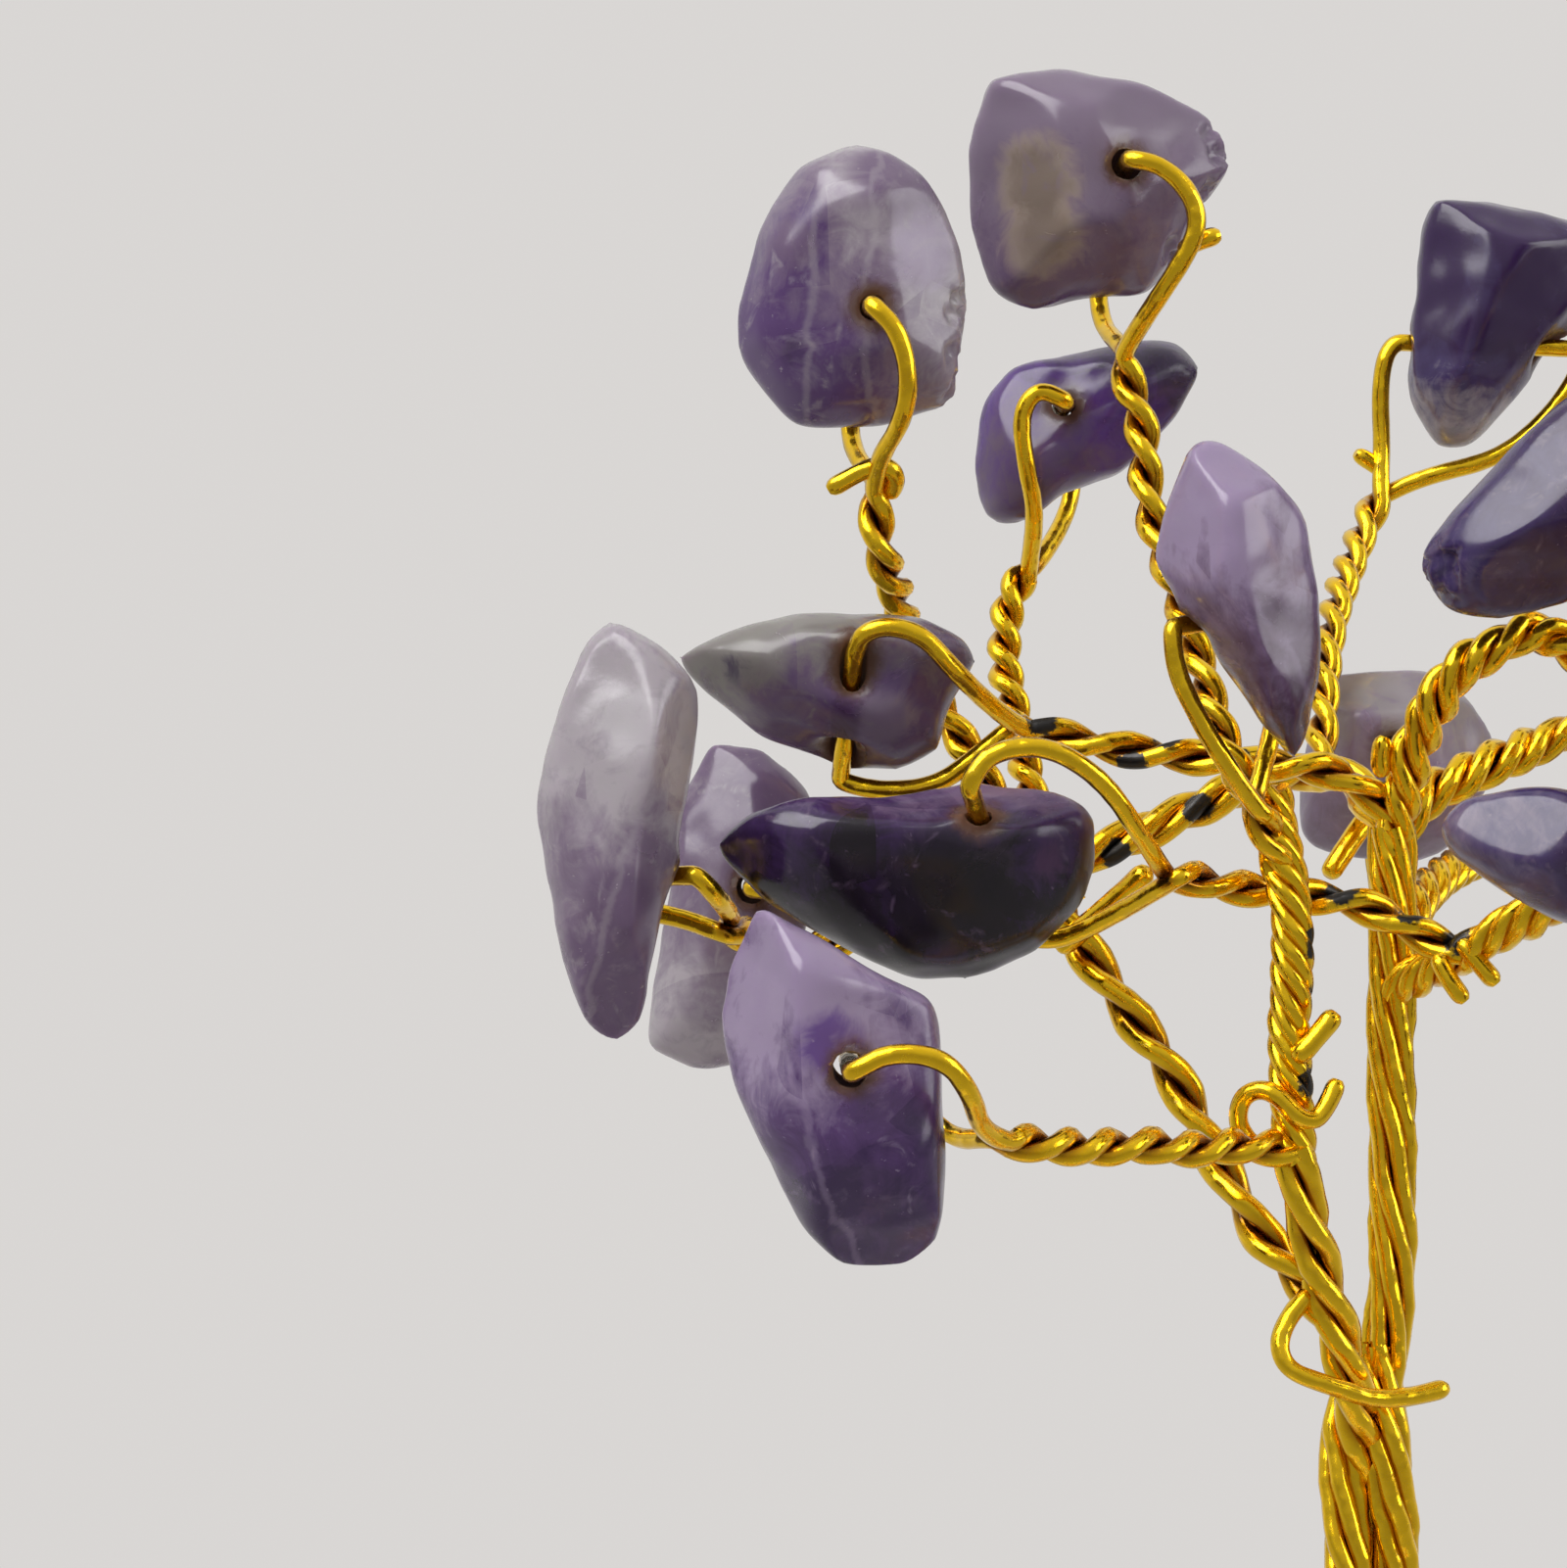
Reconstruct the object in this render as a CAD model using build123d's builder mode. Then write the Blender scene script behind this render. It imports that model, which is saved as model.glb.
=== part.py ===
from build123d import *
import math
import os
from dataclasses import dataclass

# A small tree of twisted wire that carries drilled stone chips, on a slab of stone.
# The origin is the middle of the slab's underside, +Z is up, and the viewer looks along +Y.

# Wire
wire_diameter = 0.5
pair_diameter = 0.96
limb_diameter = 1.12
upper_trunk_diameter = 1.3
trunk_diameter = 2.75
trunk_taper = 2.6
root_diameter = 1.15

# Chips
chip_thickness = 4.0
hole_diameter = 1.0
leg_clearance = 0.35

# Slab, its glue and the roots on it
slab_length = 36.0
slab_width = 30.0
slab_height = 8.0
glue_radius = 5.2
glue_height = 2.4
root_reach = 11.5

# The view: how far the eye stands from the trunk, what it aims at, and its picture
eye_reach = 110.0
aim_rise = 36.0
crown_depth = 25.0
picture_middle = 800
trunk_column = 1400
trunk_top_row = 1475
focal_pixels = 4400
aim_across = (picture_middle - trunk_column) * eye_reach / focal_pixels
aim_height = slab_height + aim_rise

# Shares: of the shorter run at a bend, of the pair's diameter where legs end inside it,
# of a root's diameter from the slab to the trunk's foot, and a chip's sections by depth and size
bend_share = 0.45
foot_share = 2.5
leg_end_shares = (0.45, 0.75)
leg_shares = ((0.2, 1.03), (0.6, 1.0), (0.83, 0.82))
section_shares = ((0.5, 0.48), (0.29, 0.87), (0.0, 1.0), (-0.26, 0.89), (-0.5, 0.52))


def seen_at(column, row, depth_share):
    """The point seen at a column and a row, at a share of the crown's depth behind the trunk."""
    depth = depth_share * crown_depth
    scale = (eye_reach + depth) / focal_pixels
    across = aim_across + (column - picture_middle) * scale
    height = aim_height + (picture_middle - row) * scale
    return Vector(across, depth, height)


def seen_route(route):
    """The points of a route that is given by columns, rows and shares of the crown's depth."""
    return [seen_at(*place) for place in route]


def bent_path(points):
    """Straight runs along the points, joined by tangent arcs as large as the runs allow."""
    start = points[0]
    for before, corner, after in zip(points, points[1:], points[2:]):
        back = before - corner
        on = after - corner
        trim = bend_share * min(back.length, on.length)
        first = corner + back.normalized() * trim
        last = corner + on.normalized() * trim
        Line(start, first)
        TangentArc(first, last, tangent=corner - before)
        start = last
    Line(start, points[-1])


def bent_tube(points, diameter):
    """A round bar along the points, added to the part that is being made."""
    with BuildLine() as path:
        bent_path(points)
    with BuildSketch(Plane(origin=path.line @ 0, z_dir=path.line % 0)) as section:
        Circle(diameter / 2)
    sweep(section.sketch, path=path.line)


# Outlines of the chips as the view shows them, by columns and rows

outline_a = [
    (872, 146), (812, 169), (773, 231), (751, 300), (750, 356), (779, 400), (812, 436),
    (907, 436), (975, 417), (983, 371), (996, 312), (981, 250), (945, 184), (905, 153),
]
outline_b = [
    (1004, 77), (1078, 69), (1167, 81), (1247, 121), (1267, 168), (1218, 222), (1205, 263),
    (1173, 301), (1100, 305), (1052, 322), (1007, 298), (985, 231), (987, 150),
]
outline_c = [
    (1030, 368), (1119, 351), (1202, 343), (1229, 373), (1199, 423), (1141, 490),
    (1073, 507), (1034, 538), (1003, 532), (991, 477), (1001, 410),
]
outline_d = [
    (1458, 199), (1514, 204), (1600, 222), (1650, 242), (1655, 275), (1600, 339),
    (1523, 436), (1495, 461), (1466, 459), (1437, 415), (1432, 352), (1441, 295), (1446, 237),
]
outline_e = [
    (1451, 560), (1498, 504), (1561, 434), (1620, 390), (1668, 385), (1700, 440),
    (1690, 540), (1645, 605), (1598, 624), (1533, 636), (1478, 622), (1453, 592),
]
outline_f = [
    (1237, 444), (1290, 475), (1338, 530), (1349, 620), (1350, 700), (1335, 770),
    (1322, 785), (1290, 740), (1262, 690), (1222, 640), (1180, 590), (1170, 560),
    (1190, 500), (1212, 455),
]
outline_g = [
    (620, 624), (591, 653), (565, 725), (546, 810), (555, 896), (567, 980), (591, 1042),
    (631, 1076), (656, 1049), (674, 958), (687, 893), (709, 820), (721, 744), (711, 693),
    (664, 645),
]
outline_h = [
    (682, 669), (736, 644), (816, 625), (936, 627), (987, 653), (1001, 675), (973, 725),
    (965, 773), (918, 791), (845, 774), (773, 751), (704, 700),
]
outline_i = [
    (722, 751), (784, 758), (831, 798), (842, 850), (835, 920), (815, 990), (790, 1055),
    (765, 1090), (704, 1097), (655, 1070), (665, 980), (680, 900), (690, 820),
]
outline_j = [
    (720, 860), (754, 829), (809, 818), (900, 813), (989, 794), (1079, 801), (1121, 830),
    (1123, 877), (1110, 926), (1065, 979), (989, 1008), (929, 1003), (850, 960),
    (776, 918), (728, 880),
]
outline_k = [
    (769, 918), (740, 967), (729, 1020), (740, 1079), (771, 1168), (821, 1257), (865, 1304),
    (932, 1306), (964, 1271), (967, 1123), (954, 1021), (901, 996), (843, 958),
]
outline_l = [
    (1354, 678), (1465, 677), (1510, 713), (1533, 753), (1522, 800), (1480, 872),
    (1440, 888), (1351, 870), (1329, 857), (1326, 800), (1334, 730),
]
outline_m = [
    (1465, 839), (1491, 814), (1568, 798), (1625, 806), (1662, 845), (1668, 900),
    (1648, 950), (1600, 948), (1529, 908), (1482, 874),
]


def middle_of(outline):
    """The mean column and the mean row of an outline."""
    columns, rows = zip(*outline)
    return sum(columns) / len(columns), sum(rows) / len(rows)


def moved(outline, column, row, size_share, flip=False):
    """An outline moved to a column and a row, resized, and turned left to right with flip."""
    middle_column, middle_row = middle_of(outline)
    side = -size_share if flip else size_share
    return [
        (column + side * (x - middle_column), row + size_share * (y - middle_row))
        for x, y in outline
    ]


@dataclass
class Chip:
    """A drilled chip and its wire. Columns and rows are the view's, and a side share goes from
    -1, just in front of the chip's face, to 1, just behind its back."""

    name: str
    outline: list
    depth_share: float
    thickness_share: float
    lean_shares: tuple
    mouths: tuple
    front_leg: list
    back_leg: list
    crotch: tuple
    twig: list
    joins: tuple
    turn: float = 0

    def __post_init__(self):
        self.middle = middle_of(self.outline)
        self.center = seen_at(*self.middle, self.depth_share)
        self.thickness = self.thickness_share * chip_thickness
        self.scale = (eye_reach + self.depth_share * crown_depth) / focal_pixels
        facing = Plane(self.center, x_dir=(1, 0, 0), z_dir=(0, -1, 0))
        self.plane = facing.rotated((0, 0, self.turn))

    def flat(self, column, row):
        """A column and a row as a place in the chip's own middle plane."""
        return (column - self.middle[0]) * self.scale, (self.middle[1] - row) * self.scale

    def beside(self, column, row, side_share):
        """The point at a column, a row and a side share of the chip."""
        reach = self.thickness / 2 + leg_clearance + wire_diameter / 2
        across, up = self.flat(column, row)
        return self.plane.from_local_coords(Vector(across, up, -side_share * reach))


def make_chip(chip):
    """A chip of flat facets, drilled where its wire runs."""
    corners = [chip.flat(*place) for place in chip.outline]
    half_across = max(across for across, up in corners)
    half_up = max(up for across, up in corners)
    with BuildPart() as stone:
        for depth_share, size_share in section_shares:
            shift_across = -2 * depth_share * chip.lean_shares[0] * half_across
            shift_up = -2 * depth_share * chip.lean_shares[1] * half_up
            with BuildSketch(chip.plane.offset(-depth_share * chip.thickness)):
                with BuildLine():
                    Polyline(
                        *[
                            (across * size_share + shift_across, up * size_share + shift_up)
                            for across, up in corners
                        ],
                        close=True,
                    )
                make_face()
        loft(ruled=True)
        first, last = [chip.beside(*mouth) for mouth in chip.mouths]
        with Locations(Plane((first + last) / 2, z_dir=last - first)):
            Hole(hole_diameter / 2)
    return stone.part


def make_twig(chip, built):
    """A chip's wire: the loop through its hole, and the twisted pair down to what it joins."""
    pair = [chip.beside(*chip.crotch)] + seen_route(chip.twig)
    way = (pair[1] - pair[0]).normalized()
    ends = [pair[0] + way * pair_diameter * share for share in leg_end_shares]
    places = chip.front_leg[::-1] + list(chip.mouths) + chip.back_leg
    loop = [ends[0]] + [chip.beside(*place) for place in places] + [ends[1]]
    with BuildPart() as twig:
        bent_tube(pair, pair_diameter)
        bent_tube(loop, wire_diameter)
        for name in chip.joins:
            add(built[name], mode=Mode.SUBTRACT)
    return twig.part


def make_trunk():
    """The full bundle of wires, from its foot over the slab, drawn in at its top."""
    with BuildPart() as trunk:
        foot = slab_height + foot_share * root_diameter
        rise = seen_at(trunk_column, trunk_top_row, 0).Z - foot
        points = [
            Vector(seen_at(column, trunk_top_row, 0).X, 0, foot + share * rise)
            for column, share in trunk_steps
        ]
        bent_tube(points, trunk_diameter)
        top = Plane(points[-1], z_dir=points[-1] - points[-2])
        with BuildSketch(top):
            Circle(trunk_diameter / 2)
        with BuildSketch(top.offset(trunk_taper)):
            Circle(upper_trunk_diameter / 2)
        loft()
    return trunk.part


def make_limb(route, diameter, joins, built):
    """A limb of many wires, down to what it joins."""
    with BuildPart() as limb:
        bent_tube(seen_route(route), diameter)
        for name in joins:
            add(built[name], mode=Mode.SUBTRACT)
    return limb.part


# The trunk's bends, by columns and shares of its height

trunk_steps = [(1400, 0.0), (1401, 0.22), (1392, 0.5), (1397, 0.78), (1400, 1.0)]

# Routes of the upper trunk and limbs, by columns, rows and shares of the crown's depth

upper_trunk_route = [
    (1397, 1500, 0.0), (1403, 1430, 0.0), (1420, 1350, 0.0), (1423, 1200, 0.0),
    (1419, 1060, 0.0), (1424, 950, 0.0), (1421, 845, 0.0),
]
front_limb_route = [
    (1390, 1462, -0.03), (1374, 1385, -0.075), (1345, 1290, -0.1), (1323, 1180, -0.12),
    (1314, 1060, -0.12), (1323, 950, -0.125), (1307, 862, -0.12), (1296, 806, -0.12),
]
low_left_limb_route = [
    (1356, 1338, -0.085), (1312, 1292, -0.075), (1268, 1232, -0.05), (1230, 1160, -0.02),
    (1198, 1095, -0.01), (1150, 1030, 0.005), (1102, 962, 0.025), (1062, 885, 0.045),
    (1030, 822, 0.062),
]
rear_left_limb_route = [
    (1420, 862, 0.01), (1400, 806, 0.06), (1345, 783, 0.12), (1275, 800, 0.15),
    (1200, 835, 0.15), (1122, 868, 0.14), (1030, 902, 0.125), (905, 936, 0.1),
]
upper_right_limb_route = [
    (1421, 868, 0.0), (1432, 800, -0.015), (1447, 753, -0.035), (1466, 715, -0.055),
    (1493, 682, -0.075), (1530, 658, -0.08), (1568, 643, -0.07), (1604, 657, -0.08),
    (1648, 712, -0.11), (1735, 714, -0.12), (1804, 642, -0.11), (1834, 545, -0.1),
]
right_limb_route = [
    (1424, 850, 0.01), (1452, 814, 0.03), (1491, 792, 0.045), (1530, 775, 0.06),
    (1570, 762, 0.075), (1605, 742, 0.08), (1700, 728, 0.08), (1800, 722, 0.09),
    (1890, 690, 0.09), (1960, 640, 0.07),
]
low_right_limb_route = [
    (1421, 1010, 0.0), (1452, 996, -0.03), (1492, 974, -0.075), (1540, 946, -0.11),
    (1592, 918, -0.15), (1680, 905, -0.17), (1780, 925, -0.18), (1860, 905, -0.17),
]
rear_right_limb_route = [
    (1423, 962, 0.01), (1446, 922, 0.08), (1476, 888, 0.17), (1545, 862, 0.3),
    (1620, 870, 0.4), (1700, 915, 0.44), (1760, 960, 0.42),
]


def hung(name, outline, depth_share, thickness_share, lean_shares, crotch, twig, joins, turn):
    """A chip that hangs in a plain loop: drilled near its middle, with both legs alike."""
    column, row = middle_of(outline)
    legs = [
        [
            (column + on * (crotch[0] - column), row + on * (crotch[1] - row), side * out)
            for on, out in leg_shares
        ]
        for side in (-1, 1)
    ]
    mouths = ((column, row, -1), (column, row, 1))
    return Chip(
        name, outline, depth_share, thickness_share, lean_shares, mouths, *legs,
        crotch, twig, joins, turn,
    )


chips = [
    Chip(
        "a", outline_a, -0.04, 1.15, (0.12, 0.1),
        mouths=((888, 323, -1), (888, 323, 1)),
        front_leg=[(910, 362, -1), (924, 415, -1), (906, 462, -0.5)],
        back_leg=[(872, 385, 1), (868, 450, 0.75)],
        crotch=(892, 490, 0),
        twig=[
            (894, 540, -0.04), (903, 575, -0.03), (917, 606, 0.03), (926, 650, 0.1),
            (950, 705, 0.11), (982, 756, 0.105), (1012, 808, 0.085), (1050, 872, 0.055),
        ],
        joins=("low_left_limb",),
    ),
    Chip(
        "b", outline_b, 0.08, 1.1, (-0.1, 0.12),
        mouths=((1145, 177, -1), (1145, 177, 1)),
        front_leg=[(1184, 196, -1), (1208, 240, -1), (1182, 318, -0.8)],
        back_leg=[(1130, 235, 1), (1128, 318, 0.9)],
        crotch=(1144, 354, 0),
        twig=[
            (1150, 386, 0.075), (1163, 420, 0.07), (1168, 455, 0.06), (1170, 495, 0.05),
            (1180, 545, 0.035), (1204, 610, 0.01), (1225, 680, -0.03), (1243, 742, -0.085),
            (1270, 800, -0.115), (1303, 862, -0.13),
        ],
        joins=("front_limb",),
    ),
    Chip(
        "c", outline_c, 0.24, 0.95, (0.1, -0.1),
        mouths=((1083, 418, -1), (1083, 418, 1)),
        front_leg=[(1050, 412, -1), (1036, 450, -1), (1036, 528, -0.9)],
        back_leg=[(1100, 470, 1), (1092, 532, 0.85)],
        crotch=(1056, 572, 0),
        twig=[
            (1034, 600, 0.24), (1025, 640, 0.23), (1025, 685, 0.21), (1036, 730, 0.18),
            (1048, 790, 0.14), (1062, 850, 0.1), (1092, 925, 0.035),
        ],
        joins=("low_left_limb", "wire_a"),
    ),
    Chip(
        "d", outline_d, 0.48, 1.15, (-0.1, 0.1),
        mouths=((1410, 350, 0), (1618, 356, 0)),
        front_leg=[(1400, 385, 0), (1404, 440, 0)],
        back_leg=[(1610, 392, 0), (1575, 440, 0), (1518, 487, 0), (1455, 490, 0)],
        crotch=(1412, 497, 0),
        twig=[
            (1396, 530, 0.46), (1380, 570, 0.4), (1366, 610, 0.33), (1356, 650, 0.26),
            (1350, 700, 0.2), (1350, 740, 0.16), (1346, 784, 0.12),
        ],
        joins=("rear_left_limb",),
    ),
    Chip(
        "e", outline_e, -0.16, 1.1, (0.1, 0.08),
        mouths=((1630, 540, -1), (1630, 540, 1)),
        front_leg=[(1644, 595, -1), (1646, 638, -0.6)],
        back_leg=[(1630, 595, 1), (1634, 638, 0.6)],
        crotch=(1640, 664, 0),
        twig=[(1650, 711, -0.125)],
        joins=("upper_right_limb",),
    ),
    Chip(
        "f", outline_f, -0.2, 1.0, (-0.08, 0.2),
        mouths=((1196, 640, 0), (1300, 622, 1)),
        front_leg=[(1198, 684, 0), (1220, 734, 0), (1246, 776, 0.05)],
        back_leg=[(1318, 670, 1), (1312, 740, 0.9)],
        crotch=(1282, 812, 0.3),
        twig=[(1292, 842, -0.15), (1308, 890, -0.12)],
        joins=("front_limb", "wire_b"),
    ),
    Chip(
        "g", outline_g, -0.18, 0.9, (0.15, 0.05),
        mouths=((712, 893, 0), (566, 900, 1)),
        front_leg=[(732, 915, 0.1)],
        back_leg=[(610, 925, 1), (690, 938, 0.95)],
        crotch=(742, 946, 0.7),
        twig=[
            (776, 966, 0.02), (815, 964, 0.05), (864, 962, 0.065), (930, 928, 0.1),
        ],
        joins=("rear_left_limb",),
    ),
    Chip(
        "h", outline_h, -0.04, 1.0, (0.05, 0.22),
        mouths=((873, 645, -1), (858, 806, 0.25)),
        front_leg=[(915, 640, -1), (965, 665, -1), (1004, 712, -0.7)],
        back_leg=[(905, 818, 0.2), (960, 806, 0.15), (1000, 770, 0.1)],
        crotch=(1036, 740, 0),
        twig=[
            (1062, 746, -0.04), (1105, 757, -0.035), (1155, 766, -0.03), (1205, 771, -0.03),
            (1255, 778, -0.03), (1305, 780, -0.03), (1350, 784, -0.028), (1385, 797, -0.015),
            (1423, 830, 0.0),
        ],
        joins=("upper_right_limb", "upper_trunk", "rear_left_limb", "right_limb"),
    ),
    Chip(
        "i", outline_i, 0.14, 0.8, (0.1, -0.1),
        mouths=((768, 905, -1), (768, 905, 1)),
        front_leg=[(800, 909, -1), (850, 926, -0.7)],
        back_leg=[(800, 912, 1), (850, 930, 0.7)],
        crotch=(880, 932, 0),
        twig=[(910, 940, 0.13), (955, 922, 0.11)],
        joins=("rear_left_limb",),
    ),
    Chip(
        "j", outline_j, -0.16, 1.05, (0.05, 0.25),
        mouths=((984, 800, -1), (1045, 960, 1)),
        front_leg=[(1005, 766, -0.95), (1062, 760, -0.9), (1128, 795, -0.8), (1164, 850, -0.4)],
        back_leg=[(1090, 965, 1), (1150, 932, 0.6)],
        crotch=(1190, 893, 0),
        twig=[
            (1230, 898, -0.12), (1275, 908, -0.078), (1322, 914, -0.07), (1378, 919, -0.068),
            (1420, 936, -0.068), (1452, 954, -0.066), (1492, 976, -0.072),
        ],
        joins=("low_right_limb",),
    ),
    Chip(
        "k", outline_k, -0.34, 1.05, (0.1, 0.12),
        mouths=((868, 1087, -1), (868, 1087, 1)),
        front_leg=[(908, 1066, -1), (962, 1080, -1), (994, 1125, -0.6)],
        back_leg=[(925, 1105, 1), (982, 1150, 0.8)],
        crotch=(1016, 1166, 0),
        twig=[
            (1062, 1166, -0.31), (1112, 1173, -0.27), (1162, 1167, -0.235),
            (1212, 1174, -0.2), (1262, 1168, -0.165), (1322, 1174, -0.12),
        ],
        joins=("front_limb",),
    ),
    Chip(
        "l", outline_l, 0.32, 0.9, (-0.1, 0.1),
        mouths=((1412, 765, -1), (1412, 765, 1)),
        front_leg=[(1420, 796, -1.02), (1416, 850, -1), (1418, 899, -0.75)],
        back_leg=[(1406, 796, 1.02), (1412, 850, 1), (1414, 899, 0.75)],
        crotch=(1418, 926, 0),
        twig=[(1424, 950, 0.28), (1436, 950, 0.2), (1450, 916, 0.095)],
        joins=("rear_right_limb",),
    ),
    Chip(
        "m", outline_m, -0.32, 1.0, (0.1, 0.12),
        mouths=((1620, 868, -1), (1620, 868, 1)),
        front_leg=[(1665, 878, -1), (1705, 895, -0.6)],
        back_leg=[(1665, 882, 1), (1705, 900, 0.6)],
        crotch=(1732, 902, 0),
        twig=[(1755, 910, -0.26), (1785, 925, -0.18)],
        joins=("low_right_limb",),
    ),
    hung(
        "n", moved(outline_b, 1860, 285, 0.95, flip=True), -0.1, 1.1, (0.1, 0.1),
        (1856, 465, 0), [(1850, 500, -0.1), (1829, 565, -0.102)], ("upper_right_limb",), 25,
    ),
    hung(
        "o", moved(outline_d, 2100, 520, 0.95, flip=True), 0.0, 1.1, (-0.1, 0.12),
        (2060, 742, 0), [(2028, 760, 0.01), (1985, 712, 0.04), (1920, 670, 0.085)],
        ("right_limb",), 60,
    ),
    hung(
        "p", moved(outline_e, 1830, 780, 0.85), -0.44, 1.1, (0.1, 0.12),
        (1765, 920, 0), [(1755, 950, -0.38), (1752, 948, -0.28), (1765, 921, -0.178)],
        ("low_right_limb", "wire_m"), -20,
    ),
    hung(
        "q", moved(outline_l, 2090, 850, 1.15), -0.14, 1.1, (0.1, 0.1),
        (1925, 925, 0), [(1895, 938, -0.15), (1840, 910, -0.171)], ("low_right_limb",), 30,
    ),
    hung(
        "r", moved(outline_k, 1880, 1130, 0.85, flip=True), -0.36, 1.0, (0.1, 0.12),
        (1720, 1040, 0), [(1680, 1005, -0.3), (1655, 960, -0.22), (1640, 911, -0.16)],
        ("low_right_limb",), -35,
    ),
    hung(
        "s", moved(outline_h, 2090, 1125, 0.95), 0.1, 1.0, (0.1, 0.12),
        (2050, 980, 0), [(2030, 950, 0.08), (1965, 932, 0.02), (1890, 955, -0.06),
        (1800, 922, -0.18)], ("low_right_limb", "wire_q"), 30,
    ),
    hung(
        "t", moved(outline_c, 1880, 850, 1.1, flip=True), 0.56, 1.1, (0.1, -0.1),
        (1780, 1016, 0), [(1752, 960, 0.52), (1715, 920, 0.438)], ("rear_right_limb",), -30,
    ),
    hung(
        "u", moved(outline_a, 2040, 430, 0.85), 0.44, 1.1, (-0.1, 0.1),
        (2026, 645, 0), [(2026, 684, 0.42), (2010, 722, 0.34), (1950, 716, 0.2),
        (1890, 692, 0.09)], ("right_limb",), 20,
    ),
    hung(
        "v", moved(outline_i, 1830, 1150, 0.85), 0.4, 1.15, (0.1, 0.12),
        (1756, 930, 0), [(1715, 894, 0.36), (1655, 888, 0.418)], ("rear_right_limb",), 35,
    ),
    hung(
        "w", moved(outline_l, 1800, 170, 1.05), 0.16, 1.1, (0.1, 0.1),
        (1798, 345, 0), [(1792, 390, 0.1), (1778, 480, 0.02), (1782, 560, -0.05),
        (1792, 655, -0.11)], ("upper_right_limb",), -15,
    ),
    hung(
        "x", moved(outline_j, 1838, 560, 0.75, flip=True), 0.3, 1.1, (0.1, 0.1),
        (1812, 692, 0), [(1806, 724, 0.24), (1790, 742, 0.15), (1755, 724, 0.085)],
        ("right_limb",), 15,
    ),
]

# Slab: its outline around the trunk, and its sections by height and size

slab_shares = [
    (1.0, 0.06), (0.9, 0.48), (0.6, 0.84), (0.18, 0.97), (-0.3, 1.0), (-0.72, 0.74),
    (-0.95, 0.3), (-1.0, -0.2), (-0.76, -0.68), (-0.3, -0.93), (0.26, -1.0), (0.74, -0.72),
]
slab_section_shares = ((0.0, 0.93), (0.22, 1.0), (0.7, 0.98), (1.0, 0.88))


def make_slab():
    """The stone slab, flat below and above, with broken sides."""
    with BuildPart() as slab:
        for height_share, size_share in slab_section_shares:
            with BuildSketch(Plane.XY.offset(height_share * slab_height)):
                with BuildLine():
                    Polyline(
                        *[
                            (x * size_share * slab_length / 2, y * size_share * slab_width / 2)
                            for x, y in slab_shares
                        ],
                        close=True,
                    )
                make_face()
        loft(ruled=True)
    return slab.part


# Roots: turn about the trunk, length and sideways bend of each

root_shares = [
    (0.03, 1.0, 0.10), (0.19, 0.86, -0.12), (0.36, 0.95, 0.14), (0.53, 1.0, -0.08),
    (0.69, 0.88, 0.12), (0.86, 0.92, -0.14),
]
root_step_shares = ((0.05, 3.6), (0.12, 2.6), (0.3, 0.75), (0.62, 0.5), (1.0, 0.5))


def make_roots(built):
    """The wires of the trunk, parted in bundles that lie on the slab."""
    with BuildPart() as roots:
        for turn_share, length_share, bend in root_shares:
            points = []
            for step, (out_share, rise_share) in enumerate(root_step_shares):
                out = out_share * length_share * root_reach
                angle = 2 * math.pi * (turn_share + bend * out_share**2 * (-1) ** step / 4)
                height = slab_height + rise_share * root_diameter
                points.append(Vector(out * math.cos(angle), out * math.sin(angle), height))
            bent_tube(points, root_diameter)
        add(built["trunk"], mode=Mode.SUBTRACT)
    return roots.part


def make_glue(built):
    """The clear glue around the foot of the trunk."""
    with BuildPart() as glue:
        with BuildSketch(Plane.XZ):
            with BuildLine():
                foot = (glue_radius, slab_height)
                top = (0, slab_height + glue_height)
                Line((0, slab_height), foot)
                TangentArc(top, foot, tangent=(1, 0))
                Line(top, (0, slab_height))
            make_face()
        revolve(axis=Axis.Z)
        add(built["trunk"], mode=Mode.SUBTRACT)
        add(built["roots"], mode=Mode.SUBTRACT)
    return glue.part


built = {}
built["slab"] = make_slab()
built["trunk"] = make_trunk()
built["upper_trunk"] = make_limb(upper_trunk_route, upper_trunk_diameter, ("trunk",), built)
limbs = {
    "front_limb": (front_limb_route, ("trunk", "upper_trunk")),
    "low_left_limb": (low_left_limb_route, ("front_limb",)),
    "upper_right_limb": (upper_right_limb_route, ("upper_trunk",)),
    "rear_left_limb": (rear_left_limb_route, ("upper_trunk", "upper_right_limb")),
    "right_limb": (right_limb_route, ("upper_trunk", "upper_right_limb", "rear_left_limb")),
    "low_right_limb": (low_right_limb_route, ("upper_trunk",)),
    "rear_right_limb": (rear_right_limb_route, ("upper_trunk",)),
}
for name, (route, joins) in limbs.items():
    built[name] = make_limb(route, limb_diameter, joins, built)
built["roots"] = make_roots(built)
built["glue"] = make_glue(built)
for chip in chips:
    built["chip_" + chip.name] = make_chip(chip)
    built["wire_" + chip.name] = make_twig(chip, built)

os.makedirs("parts", exist_ok=True)
for name, solid in built.items():
    solid.label = name
    export_step(solid, "parts/" + name + ".step")
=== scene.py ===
"""A small tree of twisted gold wire that carries drilled violet stones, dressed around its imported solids.

Every length is in metres unless a name says otherwise. Routes are given as the eye sees them: by columns
and rows of its picture, and by shares of the crown's depth behind the trunk.
"""
import sys
import logging
import math
from dataclasses import dataclass, field
from enum import Enum
from typing import Iterable

import bmesh
import bpy
from mathutils import Matrix, Vector, kdtree, noise


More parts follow.
